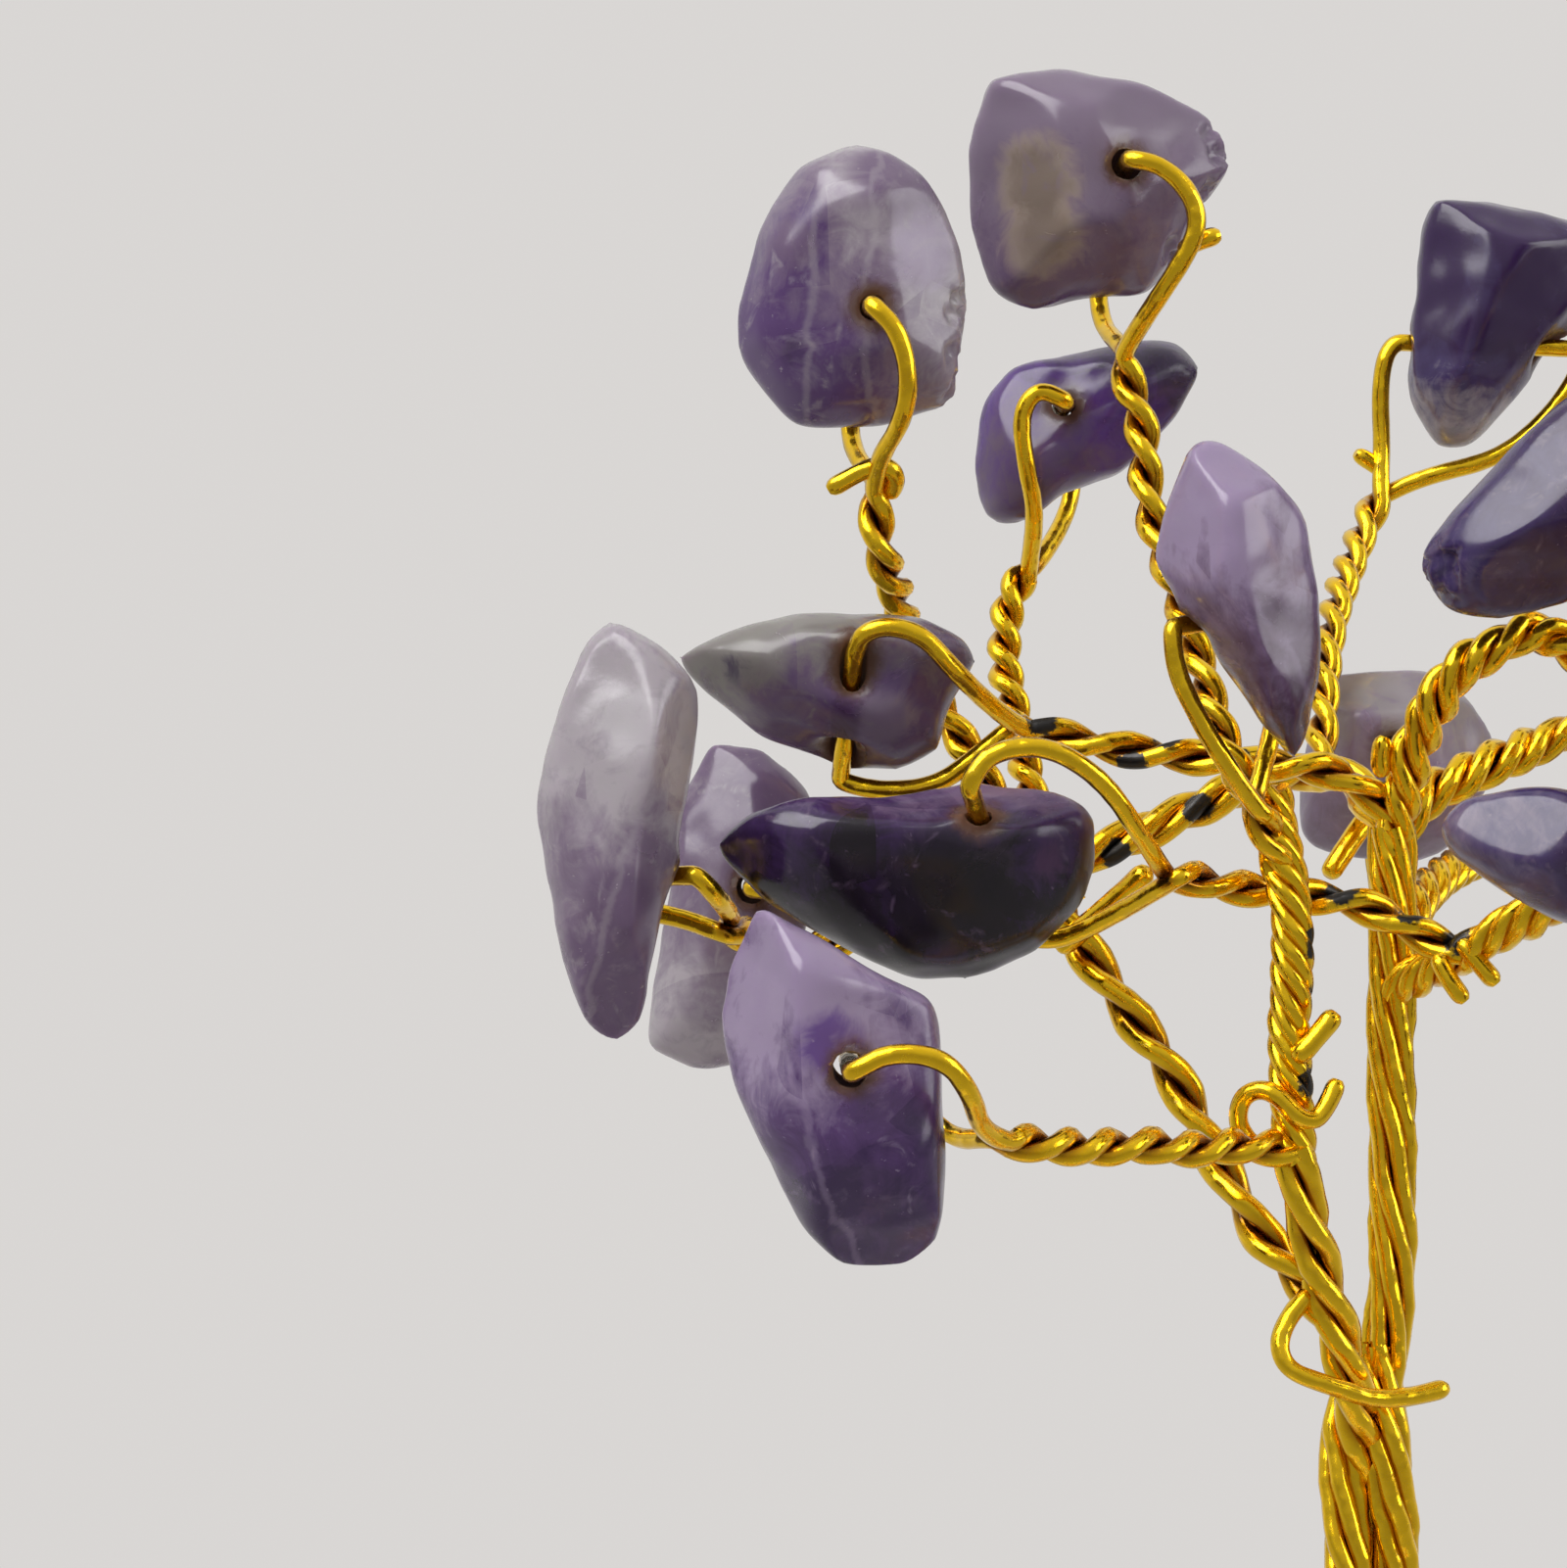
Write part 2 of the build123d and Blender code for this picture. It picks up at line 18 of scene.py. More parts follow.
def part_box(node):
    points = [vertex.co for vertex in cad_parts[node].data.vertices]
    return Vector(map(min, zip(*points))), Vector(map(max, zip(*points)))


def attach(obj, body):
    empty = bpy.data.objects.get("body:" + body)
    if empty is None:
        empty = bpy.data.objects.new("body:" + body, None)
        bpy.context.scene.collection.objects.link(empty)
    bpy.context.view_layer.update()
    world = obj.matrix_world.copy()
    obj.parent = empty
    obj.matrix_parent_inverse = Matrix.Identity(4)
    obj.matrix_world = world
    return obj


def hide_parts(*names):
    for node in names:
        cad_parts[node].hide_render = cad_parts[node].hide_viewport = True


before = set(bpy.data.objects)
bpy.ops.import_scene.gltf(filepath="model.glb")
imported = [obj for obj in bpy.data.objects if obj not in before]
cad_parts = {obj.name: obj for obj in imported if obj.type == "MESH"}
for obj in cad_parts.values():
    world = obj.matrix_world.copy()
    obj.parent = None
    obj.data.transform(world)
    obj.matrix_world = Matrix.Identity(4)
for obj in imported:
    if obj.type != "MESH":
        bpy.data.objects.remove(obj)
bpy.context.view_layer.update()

log = logging.getLogger("tree")

Place = tuple[float, float, float]
Colour = tuple[float, float, float, float]
Socket = bpy.types.NodeSocket

MILLIMETRE = 0.001


class Sum(Enum):
    """What a node works out from its values."""

    ADD = "ADD"
    SUBTRACT = "SUBTRACT"
    MULTIPLY = "MULTIPLY"
    MAXIMUM = "MAXIMUM"
    ABSOLUTE = "ABSOLUTE"
    FRACTION = "FRACT"


class Measure(Enum):
    """What a node measures of its vectors."""

    ALONG = "DOT_PRODUCT"
    DISTANCE = "DISTANCE"
    LENGTH = "LENGTH"


@dataclass(frozen=True)
class Eye:
    """Where the viewer's eye stands, and how it sees a place in its picture."""

    reach: float = 0.110
    across: float = -0.015
    height: float = 0.044
    crown_depth: float = 0.025
    middle: float = 800
    focal_pixels: float = 4400
    picture_pixels: float = 1600
    sensor_width: float = 36
    nearest: float = 0.002
    farthest: float = 10

    def scale(self, depth_share: float) -> float:
        """The length of one of the picture's pixels at a share of the crown's depth."""
        return (self.reach + depth_share * self.crown_depth) / self.focal_pixels

    def seen_at(self, column: float, row: float, depth_share: float = 0.0) -> Vector:
        """Find the point that the eye sees at a place in its picture.

        Args:
            column: The picture's column.
            row: The picture's row.
            depth_share: How far behind the trunk, as a share of the crown's depth.

        Returns:
            The point, in the shared frame.
        """
        scale = self.scale(depth_share)
        return Vector((
            self.across + (column - self.middle) * scale,
            depth_share * self.crown_depth,
            self.height + (self.middle - row) * scale,
        ))

    def route(self, places: list[Place]) -> list[Vector]:
        """The points of a route that is given by columns, rows and depth shares."""
        return [self.seen_at(*place) for place in places]

    def stand(self) -> None:
        """Put the camera where the eye stands, looking level along +Y."""
        data = bpy.data.cameras.new("eye")
        data.sensor_fit = "HORIZONTAL"
        data.sensor_width = self.sensor_width
        data.lens = self.focal_pixels / self.picture_pixels * self.sensor_width
        data.clip_start = self.nearest
        data.clip_end = self.farthest
        camera = bpy.data.objects.new("eye", data)
        camera.location = (self.across, -self.reach, self.height)
        camera.rotation_euler = (math.pi / 2, 0, 0)
        bpy.context.scene.collection.objects.link(camera)
        bpy.context.scene.camera = camera


eye = Eye()


class Graph:
    """The nodes of a material or a world, made and joined a line at a time."""

    def __init__(self, owner: bpy.types.ID, output: str) -> None:
        """Clear an owner's nodes, and start with nothing but its output.

        Args:
            owner: The material or world.
            output: The type of its output node.
        """
        owner.use_nodes = True
        self.owner = owner
        self.tree = owner.node_tree
        self.tree.nodes.clear()
        self.output = self.add(output)

    @classmethod
    def of_material(cls, name: str) -> "Graph":
        """Start a new material."""
        return cls(bpy.data.materials.new(name), "ShaderNodeOutputMaterial")

    def feed(self, sockets: Iterable[Socket], *values: object) -> None:
        """Give each input a value, or link it to another node's output.

        Args:
            sockets: The inputs.
            values: A value or another node's output for each.
        """
        for socket, value in zip(sockets, values):
            if isinstance(value, Socket):
                self.tree.links.new(value, socket)
            else:
                socket.default_value = value

    def add(self, kind: str, **values: object) -> bpy.types.Node:
        """Add a node.

        Args:
            kind: The node's type.
            values: Its properties, and a value or a node's output for each input, with _ for a space.

        Returns:
            The new node.
        """
        node = self.tree.nodes.new(kind)
        for key, value in values.items():
            if hasattr(node, key):
                setattr(node, key, value)
            else:
                self.feed([node.inputs[key.replace("_", " ")]], value)
        return node

    def millimetres(self, middle: Vector = Vector()) -> Socket:
        """Find object coordinates in millimetres.

        Args:
            middle: The place that counts as nought.

        Returns:
            The coordinates.
        """
        place = self.add("ShaderNodeTexCoord").outputs["Object"]
        mapping = self.add("ShaderNodeMapping", vector_type="POINT", Vector=place,
                           Scale=(1 / MILLIMETRE,) * 3, Location=-middle / MILLIMETRE)
        return mapping.outputs["Vector"]

    def written(self, name: str) -> Socket:
        """The value that a mesh has at each point under a name."""
        return self.add("ShaderNodeAttribute", attribute_name=name).outputs["Fac"]

    def noise(self, vector: Socket, scale: float, detail: float = 4.0, roughness: float = 0.55,
              distortion: float = 0.0) -> Socket:
        """A noise value from 0 to 1 over a vector."""
        node = self.add("ShaderNodeTexNoise", Scale=scale, Detail=detail, Roughness=roughness,
                        Distortion=distortion, Vector=vector)
        return node.outputs["Fac"]

    def maths(self, kind: Sum, first: object, second: object = 0.0) -> Socket:
        """Work out a sum.

        Args:
            kind: Which sum.
            first: A number or a socket.
            second: Another, which some sums leave out.

        Returns:
            The result.
        """
        node = self.add("ShaderNodeMath", operation=kind.value)
        self.feed(node.inputs, first, second)
        return node.outputs[0]

    def vary(self, value: Socket, noise_value: Socket, amount: float) -> Socket:
        """A value raised and lowered by a noise, by up to half an amount each way."""
        about = self.maths(Sum.SUBTRACT, noise_value, 0.5)
        return self.maths(Sum.ADD, value, self.maths(Sum.MULTIPLY, about, amount))

    def measure(self, kind: Measure, first: Socket, second: Vector = Vector()) -> Socket:
        """Get a number from one vector or two.

        Args:
            kind: What is measured.
            first: A vector.
            second: Another, which a length leaves out.

        Returns:
            The number.
        """
        node = self.add("ShaderNodeVectorMath", operation=kind.value)
        self.feed(node.inputs, first, second)
        return node.outputs["Value"]

    def seen(self) -> Socket:
        """One where a ray comes from the eye, straight or through something clear, else nought."""
        path = self.add("ShaderNodeLightPath")
        return self.maths(Sum.MAXIMUM, path.outputs["Is Camera Ray"], path.outputs["Is Transmission Ray"])

    def show_mix(self, *sockets: Socket) -> None:
        """Show two shaders, mixed by a share.

        Args:
            sockets: The share, then the shaders.
        """
        mix = self.add("ShaderNodeMixShader")
        self.feed(mix.inputs, *sockets)
        self.feed([self.output.inputs["Surface"]], mix.outputs[0])

    def spread(self, value: Socket, low: float, high: float, to_low: float = 0.0,
               to_high: float = 1.0) -> Socket:
        """A value carried smoothly from one range to another."""
        node = self.add("ShaderNodeMapRange", interpolation_type="SMOOTHSTEP", From_Min=low,
                        From_Max=high, To_Min=to_low, To_Max=to_high, Value=value)
        return node.outputs["Result"]

    def ramp(self, value: Socket, stops: list[tuple[float, Colour]]) -> Socket:
        """Lay colours along a value.

        Args:
            value: The value.
            stops: Where each colour lies, from 0 to 1, and the colour.

        Returns:
            The colour at the value.
        """
        node = self.add("ShaderNodeValToRGB", Fac=value)
        elements = node.color_ramp.elements
        while len(elements) < len(stops):
            elements.new(1.0)
        for element, (position, colour) in zip(elements, stops):
            element.position = position
            element.color = colour
        return node.outputs["Color"]

    def mix(self, factor: object, first: object, second: object) -> Socket:
        """Mix two colours.

        Args:
            factor: How much of the second, as a number or a socket.
            first: A colour or a socket.
            second: Another.

        Returns:
            The mixed colour.
        """
        node = self.add("ShaderNodeMix", data_type="RGBA", blend_type="MIX")
        # The node's inputs 0, 6 and 7 are the factor and the two colours
        self.feed((node.inputs[0], node.inputs[6], node.inputs[7]), factor, first, second)
        return node.outputs[2]

    def bump(self, height: Socket, strength: float, depth: float, **normal: Socket) -> Socket:
        """A normal that is roughened by a height, from another normal where one is given."""
        node = self.add("ShaderNodeBump", Strength=strength, Distance=depth, Height=height, **normal)
        return node.outputs["Normal"]

    def surface(self, **values: object) -> None:
        """Show a principled shader."""
        shader = self.add("ShaderNodeBsdfPrincipled", **values)
        self.feed([self.output.inputs["Surface"]], shader.outputs["BSDF"])


@dataclass(frozen=True)
class GoldEnamel:
    """Thin wire with a clear amber enamel, chipped to grey, with painted shade: bright on its crowns, brown
    deep in its twists.
    """

    crown: Colour = (0.97, 0.61, 0.012, 1)
    flank: Colour = (0.72, 0.37, 0.004, 1)
    crevice_shade: Colour = (0.22, 0.085, 0.002, 1)
    chipped: Colour = (0.040, 0.038, 0.037, 1)
    cloud_scale: float = 0.9
    fine_scale: float = 6.0
    facet_scale: float = 1.9
    facet_depth: float = 0.12 * MILLIMETRE
    grain_depth: float = 0.02 * MILLIMETRE

    def material(self) -> bpy.types.Material:
        """Make the enamel's material, which reads how far out of the twist a point lies and paints shade
        there, darker the further in.

        Returns:
            The material.
        """
        graph = Graph.of_material("gold_enamel")
        where = graph.millimetres()
        cloud = graph.noise(where, self.cloud_scale, 5.0)
        fine = graph.noise(where, self.fine_scale, 3.0)
        out = graph.vary(graph.written("tuck_shade"), cloud, 0.7)
        # Painted shade: the colour runs from dark brown deep in the twist to bright gold on the strands'
        # outer crowns.
        colour = graph.ramp(out, [(0.0, self.crevice_shade), (0.5, self.flank), (0.95, self.crown)])
        chip = graph.spread(graph.vary(graph.written("mark"), fine, 0.5), 0.42, 0.55)
        rough = graph.spread(fine, 0.3, 0.75, 0.14, 0.30)
        facets = graph.add("ShaderNodeTexVoronoi", feature="SMOOTH_F1", Scale=self.facet_scale,
                           Smoothness=0.35, Vector=where)
        flats = graph.bump(facets.outputs["Distance"], 0.35, self.facet_depth)
        graph.surface(
            Metallic=1.0, IOR=1.5, Coat_Weight=0.25, Coat_Roughness=0.08,
            Base_Color=graph.mix(chip, colour, self.chipped),
            Roughness=graph.maths(Sum.ADD, rough, graph.maths(Sum.MULTIPLY, chip, 0.2)),
            Normal=graph.bump(fine, 0.25, self.grain_depth, Normal=flats),
        )
        return graph.owner


# Rust brown for the hole mouths, also painted as shade down the holes' walls.
RUST_AND_HOLE_SHADE: Colour = (0.085, 0.034, 0.014, 1)


@dataclass(frozen=True)
class VioletQuartz:
    """Cloudy violet quartz: pale and deep zones across the stone, partly its own zoning and partly painted
    shade, with fine healed cracks and a wet polish.
    """

    pale: Colour
    body: Colour
    deep: Colour
    zone_and_shade_axis: tuple[float, float, float] = (0.0, 0.0, -1.0)
    shift: float = 0.0
    spread: float = 3.0
    clearness: float = 0.28
    veiling: float = 0.5

    CLOUDS = (0.34, 6.0, 0.58, 0.9)
    WISPS = (1.0, 6.0, 0.62, 1.8)
    HAZE = (0.6, 5.0, 0.6, 0.8)
    SPECKS = (5.5, 2.0)
    SCRATCHES = (9.0, 4.0, 0.7)
    SCRATCH_DEPTH = 0.03 * MILLIMETRE
    BLOCK_SCALE = 0.30
    CRACK_SCALE = 0.33
    CRACK_BEND = (2.2, 2.2, 2.2)
    VEIN_WIDTHS = (0.02, 0.16)
    GLOW_DEPTH = 1.2 * MILLIMETRE
    GLOW_COLOUR = (0.9, 0.6, 1.0)

    def material(self, name: str, middle: Vector, clouds: list[tuple[Vector, float, Colour]],
                 veins: list[tuple[Vector, float]]) -> bpy.types.Material:
        """Make one stone's material.

        Args:
            name: The material's name.
            middle: The stone's middle, about which its zones lie.
            clouds: The clouds of other colours in it.
            veins: The planes of its pale veins.

        Returns:
            The material.
        """
        graph = Graph.of_material(name)
        where = graph.millimetres(middle)
        along = graph.measure(Measure.ALONG, where, Vector(self.zone_and_shade_axis).normalized())
        cloud = graph.noise(where, *self.CLOUDS)
        wisps = graph.noise(where, *self.WISPS)
        # Pale to deep along the axis: partly the quartz's own zoning, partly painted shade, as most stones
        # are set deeper on their lower side and some on their front.
        zone_and_shade = graph.spread(along, self.shift - self.spread, self.shift + self.spread)
        depth = graph.vary(graph.vary(zone_and_shade, cloud, 1.7), wisps, 0.9)
        blocks = graph.add("ShaderNodeTexVoronoi", feature="F1", Scale=self.BLOCK_SCALE, Vector=where)
        depth = graph.vary(depth, blocks.outputs["Color"], 0.30)
        colour = graph.ramp(depth, [(0.0, self.pale), (0.5, self.body), (1.0, self.deep)])
        for place, width, tint in clouds:
            gap = graph.measure(Measure.DISTANCE, where, place)
            edge = graph.maths(Sum.ADD, gap, graph.maths(Sum.MULTIPLY, wisps, 0.8))
            colour = graph.mix(graph.spread(edge, width * 0.75, width * 1.15, 0.85, 0.0), colour, tint)
        for normal, offset in veins:
            off = graph.maths(Sum.SUBTRACT, graph.measure(Measure.ALONG, where, normal), offset)
            gap = graph.maths(Sum.ABSOLUTE, graph.vary(off, cloud, 1.1))
            colour = graph.mix(graph.spread(gap, *self.VEIN_WIDTHS, 0.30, 0.0), colour, self.pale)
        haze = graph.spread(graph.noise(where, *self.HAZE), 0.52, 0.75, 0.0, self.veiling)
        veil = graph.maths(Sum.MULTIPLY, self.cracks(graph, where), graph.spread(wisps, 0.48, 0.66))
        specks = graph.spread(graph.noise(where, *self.SPECKS), 0.70, 0.78, 0.0, 0.5)
        for share in (haze, veil, specks):
            colour = graph.mix(share, colour, self.pale)
        rust_and_hole_shade = graph.vary(graph.written("rust_and_hole_shade"), wisps, 0.8)
        polish = graph.spread(cloud, 0.3, 0.7, 0.12, 0.30)
        scratches = graph.noise(where, *self.SCRATCHES)
        graph.surface(
            IOR=1.50, Transmission_Weight=self.clearness, Subsurface_Weight=0.4,
            Subsurface_Scale=self.GLOW_DEPTH, Subsurface_Radius=self.GLOW_COLOUR,
            # Dark rust brown near the hole: real rust at the mouths, painted shade down the hole's wall.
            Base_Color=graph.mix(graph.spread(rust_and_hole_shade, 0.25, 0.85, 0.0, 0.95), colour, RUST_AND_HOLE_SHADE),
            Roughness=graph.maths(Sum.ADD, polish, graph.spread(rust_and_hole_shade, 0.55, 0.95, 0.0, 0.7)),
            Normal=graph.bump(scratches, 0.10, self.SCRATCH_DEPTH),
        )
        return graph.owner

    def cracks(self, graph: Graph, where: Socket) -> Socket:
        """Find how white each point is with a healed crack.

        Args:
            graph: The stone's nodes.
            where: Its coordinates.

        Returns:
            The whiteness as a share.
        """
        warp = graph.add("ShaderNodeTexNoise", Scale=0.5, Detail=3.0, Vector=where)
        bent = graph.add("ShaderNodeVectorMath", operation="MULTIPLY_ADD")
        graph.feed(bent.inputs, warp.outputs["Color"], self.CRACK_BEND, where)
        cells = graph.add("ShaderNodeTexVoronoi", feature="DISTANCE_TO_EDGE", Scale=self.CRACK_SCALE,
                          Vector=bent.outputs["Vector"])
        return graph.spread(cells.outputs["Distance"], 0.0, 0.05, 0.45, 0.0)


@dataclass(frozen=True)
class BandedAgate:
    """Grey and lilac agate, banded about a few nests of crystal, dull where it is broken."""

    bands: tuple[Colour, ...] = (
        (0.46, 0.43, 0.42, 1), (0.72, 0.69, 0.68, 1), (0.40, 0.34, 0.42, 1),
        (0.80, 0.78, 0.76, 1), (0.33, 0.26, 0.38, 1),
    )
    dust: Colour = (0.30, 0.27, 0.28, 1)
    nest_scale: float = 0.055
    rings_in_nest: float = 7.0
    grain_scale: float = 2.4
    grain_depth: float = 0.15 * MILLIMETRE

    def material(self) -> bpy.types.Material:
        """Make the slab's material.

        Returns:
            The material.
        """
        graph = Graph.of_material("banded_agate")
        where = graph.millimetres()
        nests = graph.noise(where, self.nest_scale, 3.0, 0.5, 0.9)
        rings = graph.maths(Sum.FRACTION, graph.maths(Sum.MULTIPLY, nests, self.rings_in_nest))
        stops = [(number / len(self.bands), band) for number, band in enumerate(self.bands)]
        grain = graph.noise(where, self.grain_scale, 6.0, 0.65)
        dusty = graph.spread(grain, 0.35, 0.75, 0.0, 0.45)
        graph.surface(
            IOR=1.54, Subsurface_Weight=0.08, Subsurface_Scale=MILLIMETRE,
            Base_Color=graph.mix(dusty, graph.ramp(rings, stops), self.dust),
            Roughness=graph.spread(grain, 0.3, 0.7, 0.28, 0.62),
            Normal=graph.bump(grain, 0.35, self.grain_depth),
        )
        return graph.owner


@dataclass(frozen=True)
class ClearGlue:
    """Set glue: clear, a little yellow, with small bubbles."""

    tint: Colour = (0.93, 0.88, 0.74, 1)
    foam_tint: Colour = (0.98, 0.97, 0.95, 1)
    bubble_scale: float = 1.6
    ripple_scale: float = 0.6
    ripple_depth: float = 0.3 * MILLIMETRE

    def material(self) -> bpy.types.Material:
        """Make the glue's material.

        Returns:
            The material.
        """
        graph = Graph.of_material("clear_glue")
        where = graph.millimetres()
        bubbles = graph.add("ShaderNodeTexVoronoi", feature="F1", Scale=self.bubble_scale,
                            Randomness=1.0, Vector=where)
        foam = graph.spread(bubbles.outputs["Distance"], 0.06, 0.16, 1.0, 0.0)
        ripple = graph.noise(where, self.ripple_scale, 3.0)
        graph.surface(
            IOR=1.47, Transmission_Weight=0.85, Base_Color=graph.mix(foam, self.tint, self.foam_tint),
            Roughness=graph.spread(ripple, 0.3, 0.7, 0.05, 0.16),
            Normal=graph.bump(ripple, 0.4, self.ripple_depth),
        )
        return graph.owner


WELD_DISTANCE = 1e-6


def link(name: str, mesh: bpy.types.Mesh) -> bpy.types.Object:
    """Put a mesh in the scene as an object at the origin.

    Args:
        name: The object's name.
        mesh: Its mesh.

    Returns:
        The object.
    """
    piece = bpy.data.objects.new(name, mesh)
    bpy.context.scene.collection.objects.link(piece)
    return piece


def mesh_of(data: bpy.types.ID, name: str) -> bpy.types.Mesh:
    """Turn a curve into a mesh, and delete the curve.

    Args:
        data: The curve.
        name: The mesh's name.

    Returns:
        The mesh.
    """
    carrier = bpy.data.objects.new(name, data)
    bpy.context.scene.collection.objects.link(carrier)
    bpy.context.view_layer.update()
    mesh = bpy.data.meshes.new_from_object(carrier)
    bpy.data.objects.remove(carrier)
    bpy.data.curves.remove(data)
    mesh.name = name
    return mesh


def even_mesh(node: str, name: str, grain: float) -> bpy.types.Mesh:
    """Remesh a solid in even faces.

    Args:
        node: The solid's node.
        name: The new mesh's name.
        grain: About how long each face is.

    Returns:
        The new mesh.
    """
    shape = bmesh.new()
    shape.from_mesh(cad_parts[node].data)
    bmesh.ops.remove_doubles(shape, verts=shape.verts, dist=WELD_DISTANCE)
    mesh = bpy.data.meshes.new(name)
    shape.to_mesh(mesh)
    shape.free()
    carrier = link(node + "_carrier", mesh)
    remesh = carrier.modifiers.new("even", "REMESH")
    remesh.mode = "VOXEL"
    remesh.voxel_size = grain
    bpy.context.view_layer.update()
    graph = bpy.context.evaluated_depsgraph_get()
    even = bpy.data.meshes.new_from_object(carrier.evaluated_get(graph))
    bpy.data.objects.remove(carrier)
    even.name = name
    return even


def rub(shape: bmesh.types.BMesh, times: int) -> None:
    """Wear a shape's edges down, a few times over."""
    for _ in range(times):
        bmesh.ops.smooth_vert(shape, verts=shape.verts, factor=0.5, use_axis_x=True, use_axis_y=True,
                              use_axis_z=True)


def polish(shape: bmesh.types.BMesh, mesh: bpy.types.Mesh, material: bpy.types.Material) -> None:
    """Write a worn shape to a mesh, smooth and with one material.

    Args:
        shape: The worn shape, which is then freed.
        mesh: The mesh.
        material: The material.
    """
    shape.to_mesh(mesh)
    shape.free()
    mesh.shade_smooth()
    mesh.materials.clear()
    mesh.materials.append(material)


class MiddleLine:
    """A line through close points, with a frame at each that turns as little as it can."""

    STEP = 0.09 * MILLIMETRE
    SMOOTHNESS = 16
    ORDER = 3
    SHORTEST_SPAN = 1e-12

    def __init__(self, points: list[Vector]) -> None:
        """Take the line's points and work out its frames."""
        self.points = points
        self.frames()

    @classmethod
    def laid(cls, places: list[Vector], step: float = STEP) -> "MiddleLine":
        """Lay a smooth line along a route.

        Args:
            places: The route's points.
            step: The distance between the line's points.

        Returns:
            The line.
        """
        curve = bpy.data.curves.new("route", "CURVE")
        curve.dimensions = "3D"
        curve.resolution_u = cls.SMOOTHNESS
        spline = curve.splines.new("NURBS")
        spline.points.add(len(places) - 1)
        for point, place in zip(spline.points, places):
            point.co = (*place, 1.0)
        spline.order_u = cls.ORDER
        spline.use_endpoint_u = True
        mesh = mesh_of(curve, "route")
        rough = [vertex.co.copy() for vertex in mesh.vertices]
        bpy.data.meshes.remove(mesh)
        return cls(cls.even(rough, step))

    @classmethod
    def even(cls, rough: list[Vector], step: float) -> list[Vector]:
        """Space points evenly along a line of uneven ones.

        Args:
            rough: The uneven points.
            step: About how far apart the even ones are.

        Returns:
            The even points.
        """
        lengths = [0.0]
        for before, after in zip(rough, rough[1:]):
            lengths.append(lengths[-1] + (after - before).length)
        count = max(2, round(lengths[-1] / step))
        points = []
        at = 0
        for number in range(count + 1):
            target = lengths[-1] * number / count
            while at < len(lengths) - 2 and lengths[at + 1] < target:
                at += 1
            span = max(lengths[at + 1] - lengths[at], cls.SHORTEST_SPAN)
            points.append(rough[at].lerp(rough[at + 1], (target - lengths[at]) / span))
        return points

    def frames(self) -> None:
        """Work out the line's tangents, its side and its length to each point."""
        self.tangents = []
        self.sides = []
        self.along = [0.0]
        last = len(self.points) - 1
        for number, point in enumerate(self.points):
            before = self.points[max(number - 1, 0)]
            after = self.points[min(number + 1, last)]
            self.tangents.append((after - before).normalized())
            if number:
                self.along.append(self.along[-1] + (point - self.points[number - 1]).length)
        side = self.tangents[0].orthogonal().normalized()
        for tangent in self.tangents:
            side = (side - tangent * side.dot(tangent)).normalized()
            self.sides.append(side)

    @property
    def length(self) -> float:
        """The line's length."""
        return self.along[-1]

    def about(self, number: int, angle: float, out: float) -> Vector:
        """A point beside the line.

        Args:
            number: Which of the line's points.
            angle: The turn about the line there.
            out: The distance from it.

        Returns:
            The point.
        """
        side = self.sides[number]
        cross = self.tangents[number].cross(side)
        return self.points[number] + (side * math.cos(angle) + cross * math.sin(angle)) * out


@dataclass(frozen=True)
class Strand:
    """One wire: the points that it follows and its radius at each."""

    points: list[Vector]
    radii: list[float]


@dataclass(frozen=True)
class Unevenness:
    """A noise along a twist: how fast it changes, where it starts, and how far apart strands read it."""

    scale: float
    start: float
    apart: float

    def at(self, along: float, seed: float, strand: int) -> float:
        """Its value at a length in millimetres along a strand."""
        return noise.noise(Vector((along * self.scale, seed + self.start, strand * self.apart)))


def worn_share(point: Vector, loss: float, scale: float) -> float:
    """How full a worn wire is at a point, as a share."""
    return 1 - loss * abs(noise.noise(point / MILLIMETRE * scale))


@dataclass(frozen=True)
class Lay:
    """How the strands of a twist lie: how many, how far round, and how unevenly."""

    DRIFT = Unevenness(0.45, 0.0, 0.3)
    GIVE = Unevenness(0.9, 7.3, 4.1)
    SWELL = Unevenness(0.8, 5.9, 1.9)
    PRESS = Unevenness(1.7, 3.1, 2.7)
    DRIFT_REACH = 5
    GIVE_REACH = 2.2
    PRESS_REACH = 0.12

    strands: int
    diameter: float
    pitch: float
    phase: float = 0.0
    looseness: float = 0.06
    fullness: float = 1.06
    lumps: float = 0.0

    @property
    def wire_radius(self) -> float:
        """The radius of one strand, with all of them touching."""
        sine = math.sin(math.pi / self.strands)
        return self.diameter / 2 * sine / (1 + sine)

    @property
    def ring_radius(self) -> float:
        """The distance from the twist's middle to a strand's."""
        return self.diameter / 2 - self.wire_radius

    def twist(self, line: MiddleLine, seed: float) -> list[Strand]:
        """Wind the strands left-handed about a line.

        Args:
            line: The twist's middle line.
            seed: What makes this twist's unevenness its own.

        Returns:
            The strands.
        """
        found = []
        for strand in range(self.strands):
            points = []
            radii = []
            for number, along in enumerate(line.along):
                at = along / MILLIMETRE
                drift = self.DRIFT.at(at, seed, strand) * self.DRIFT_REACH * self.looseness
                angle = self.phase + math.tau * strand / self.strands + drift
                angle -= math.tau * along / self.pitch
                give = self.GIVE_REACH * self.looseness * abs(self.GIVE.at(at, seed, strand))
                swell = self.lumps * self.SWELL.at(at, seed, strand)
                points.append(line.about(number, angle, self.ring_radius * (1 - give + swell)))
                press = self.PRESS_REACH * abs(self.PRESS.at(at, seed, strand))
                radii.append(self.wire_radius * (self.fullness - press))
            found.append(Strand(points, radii))
        return found


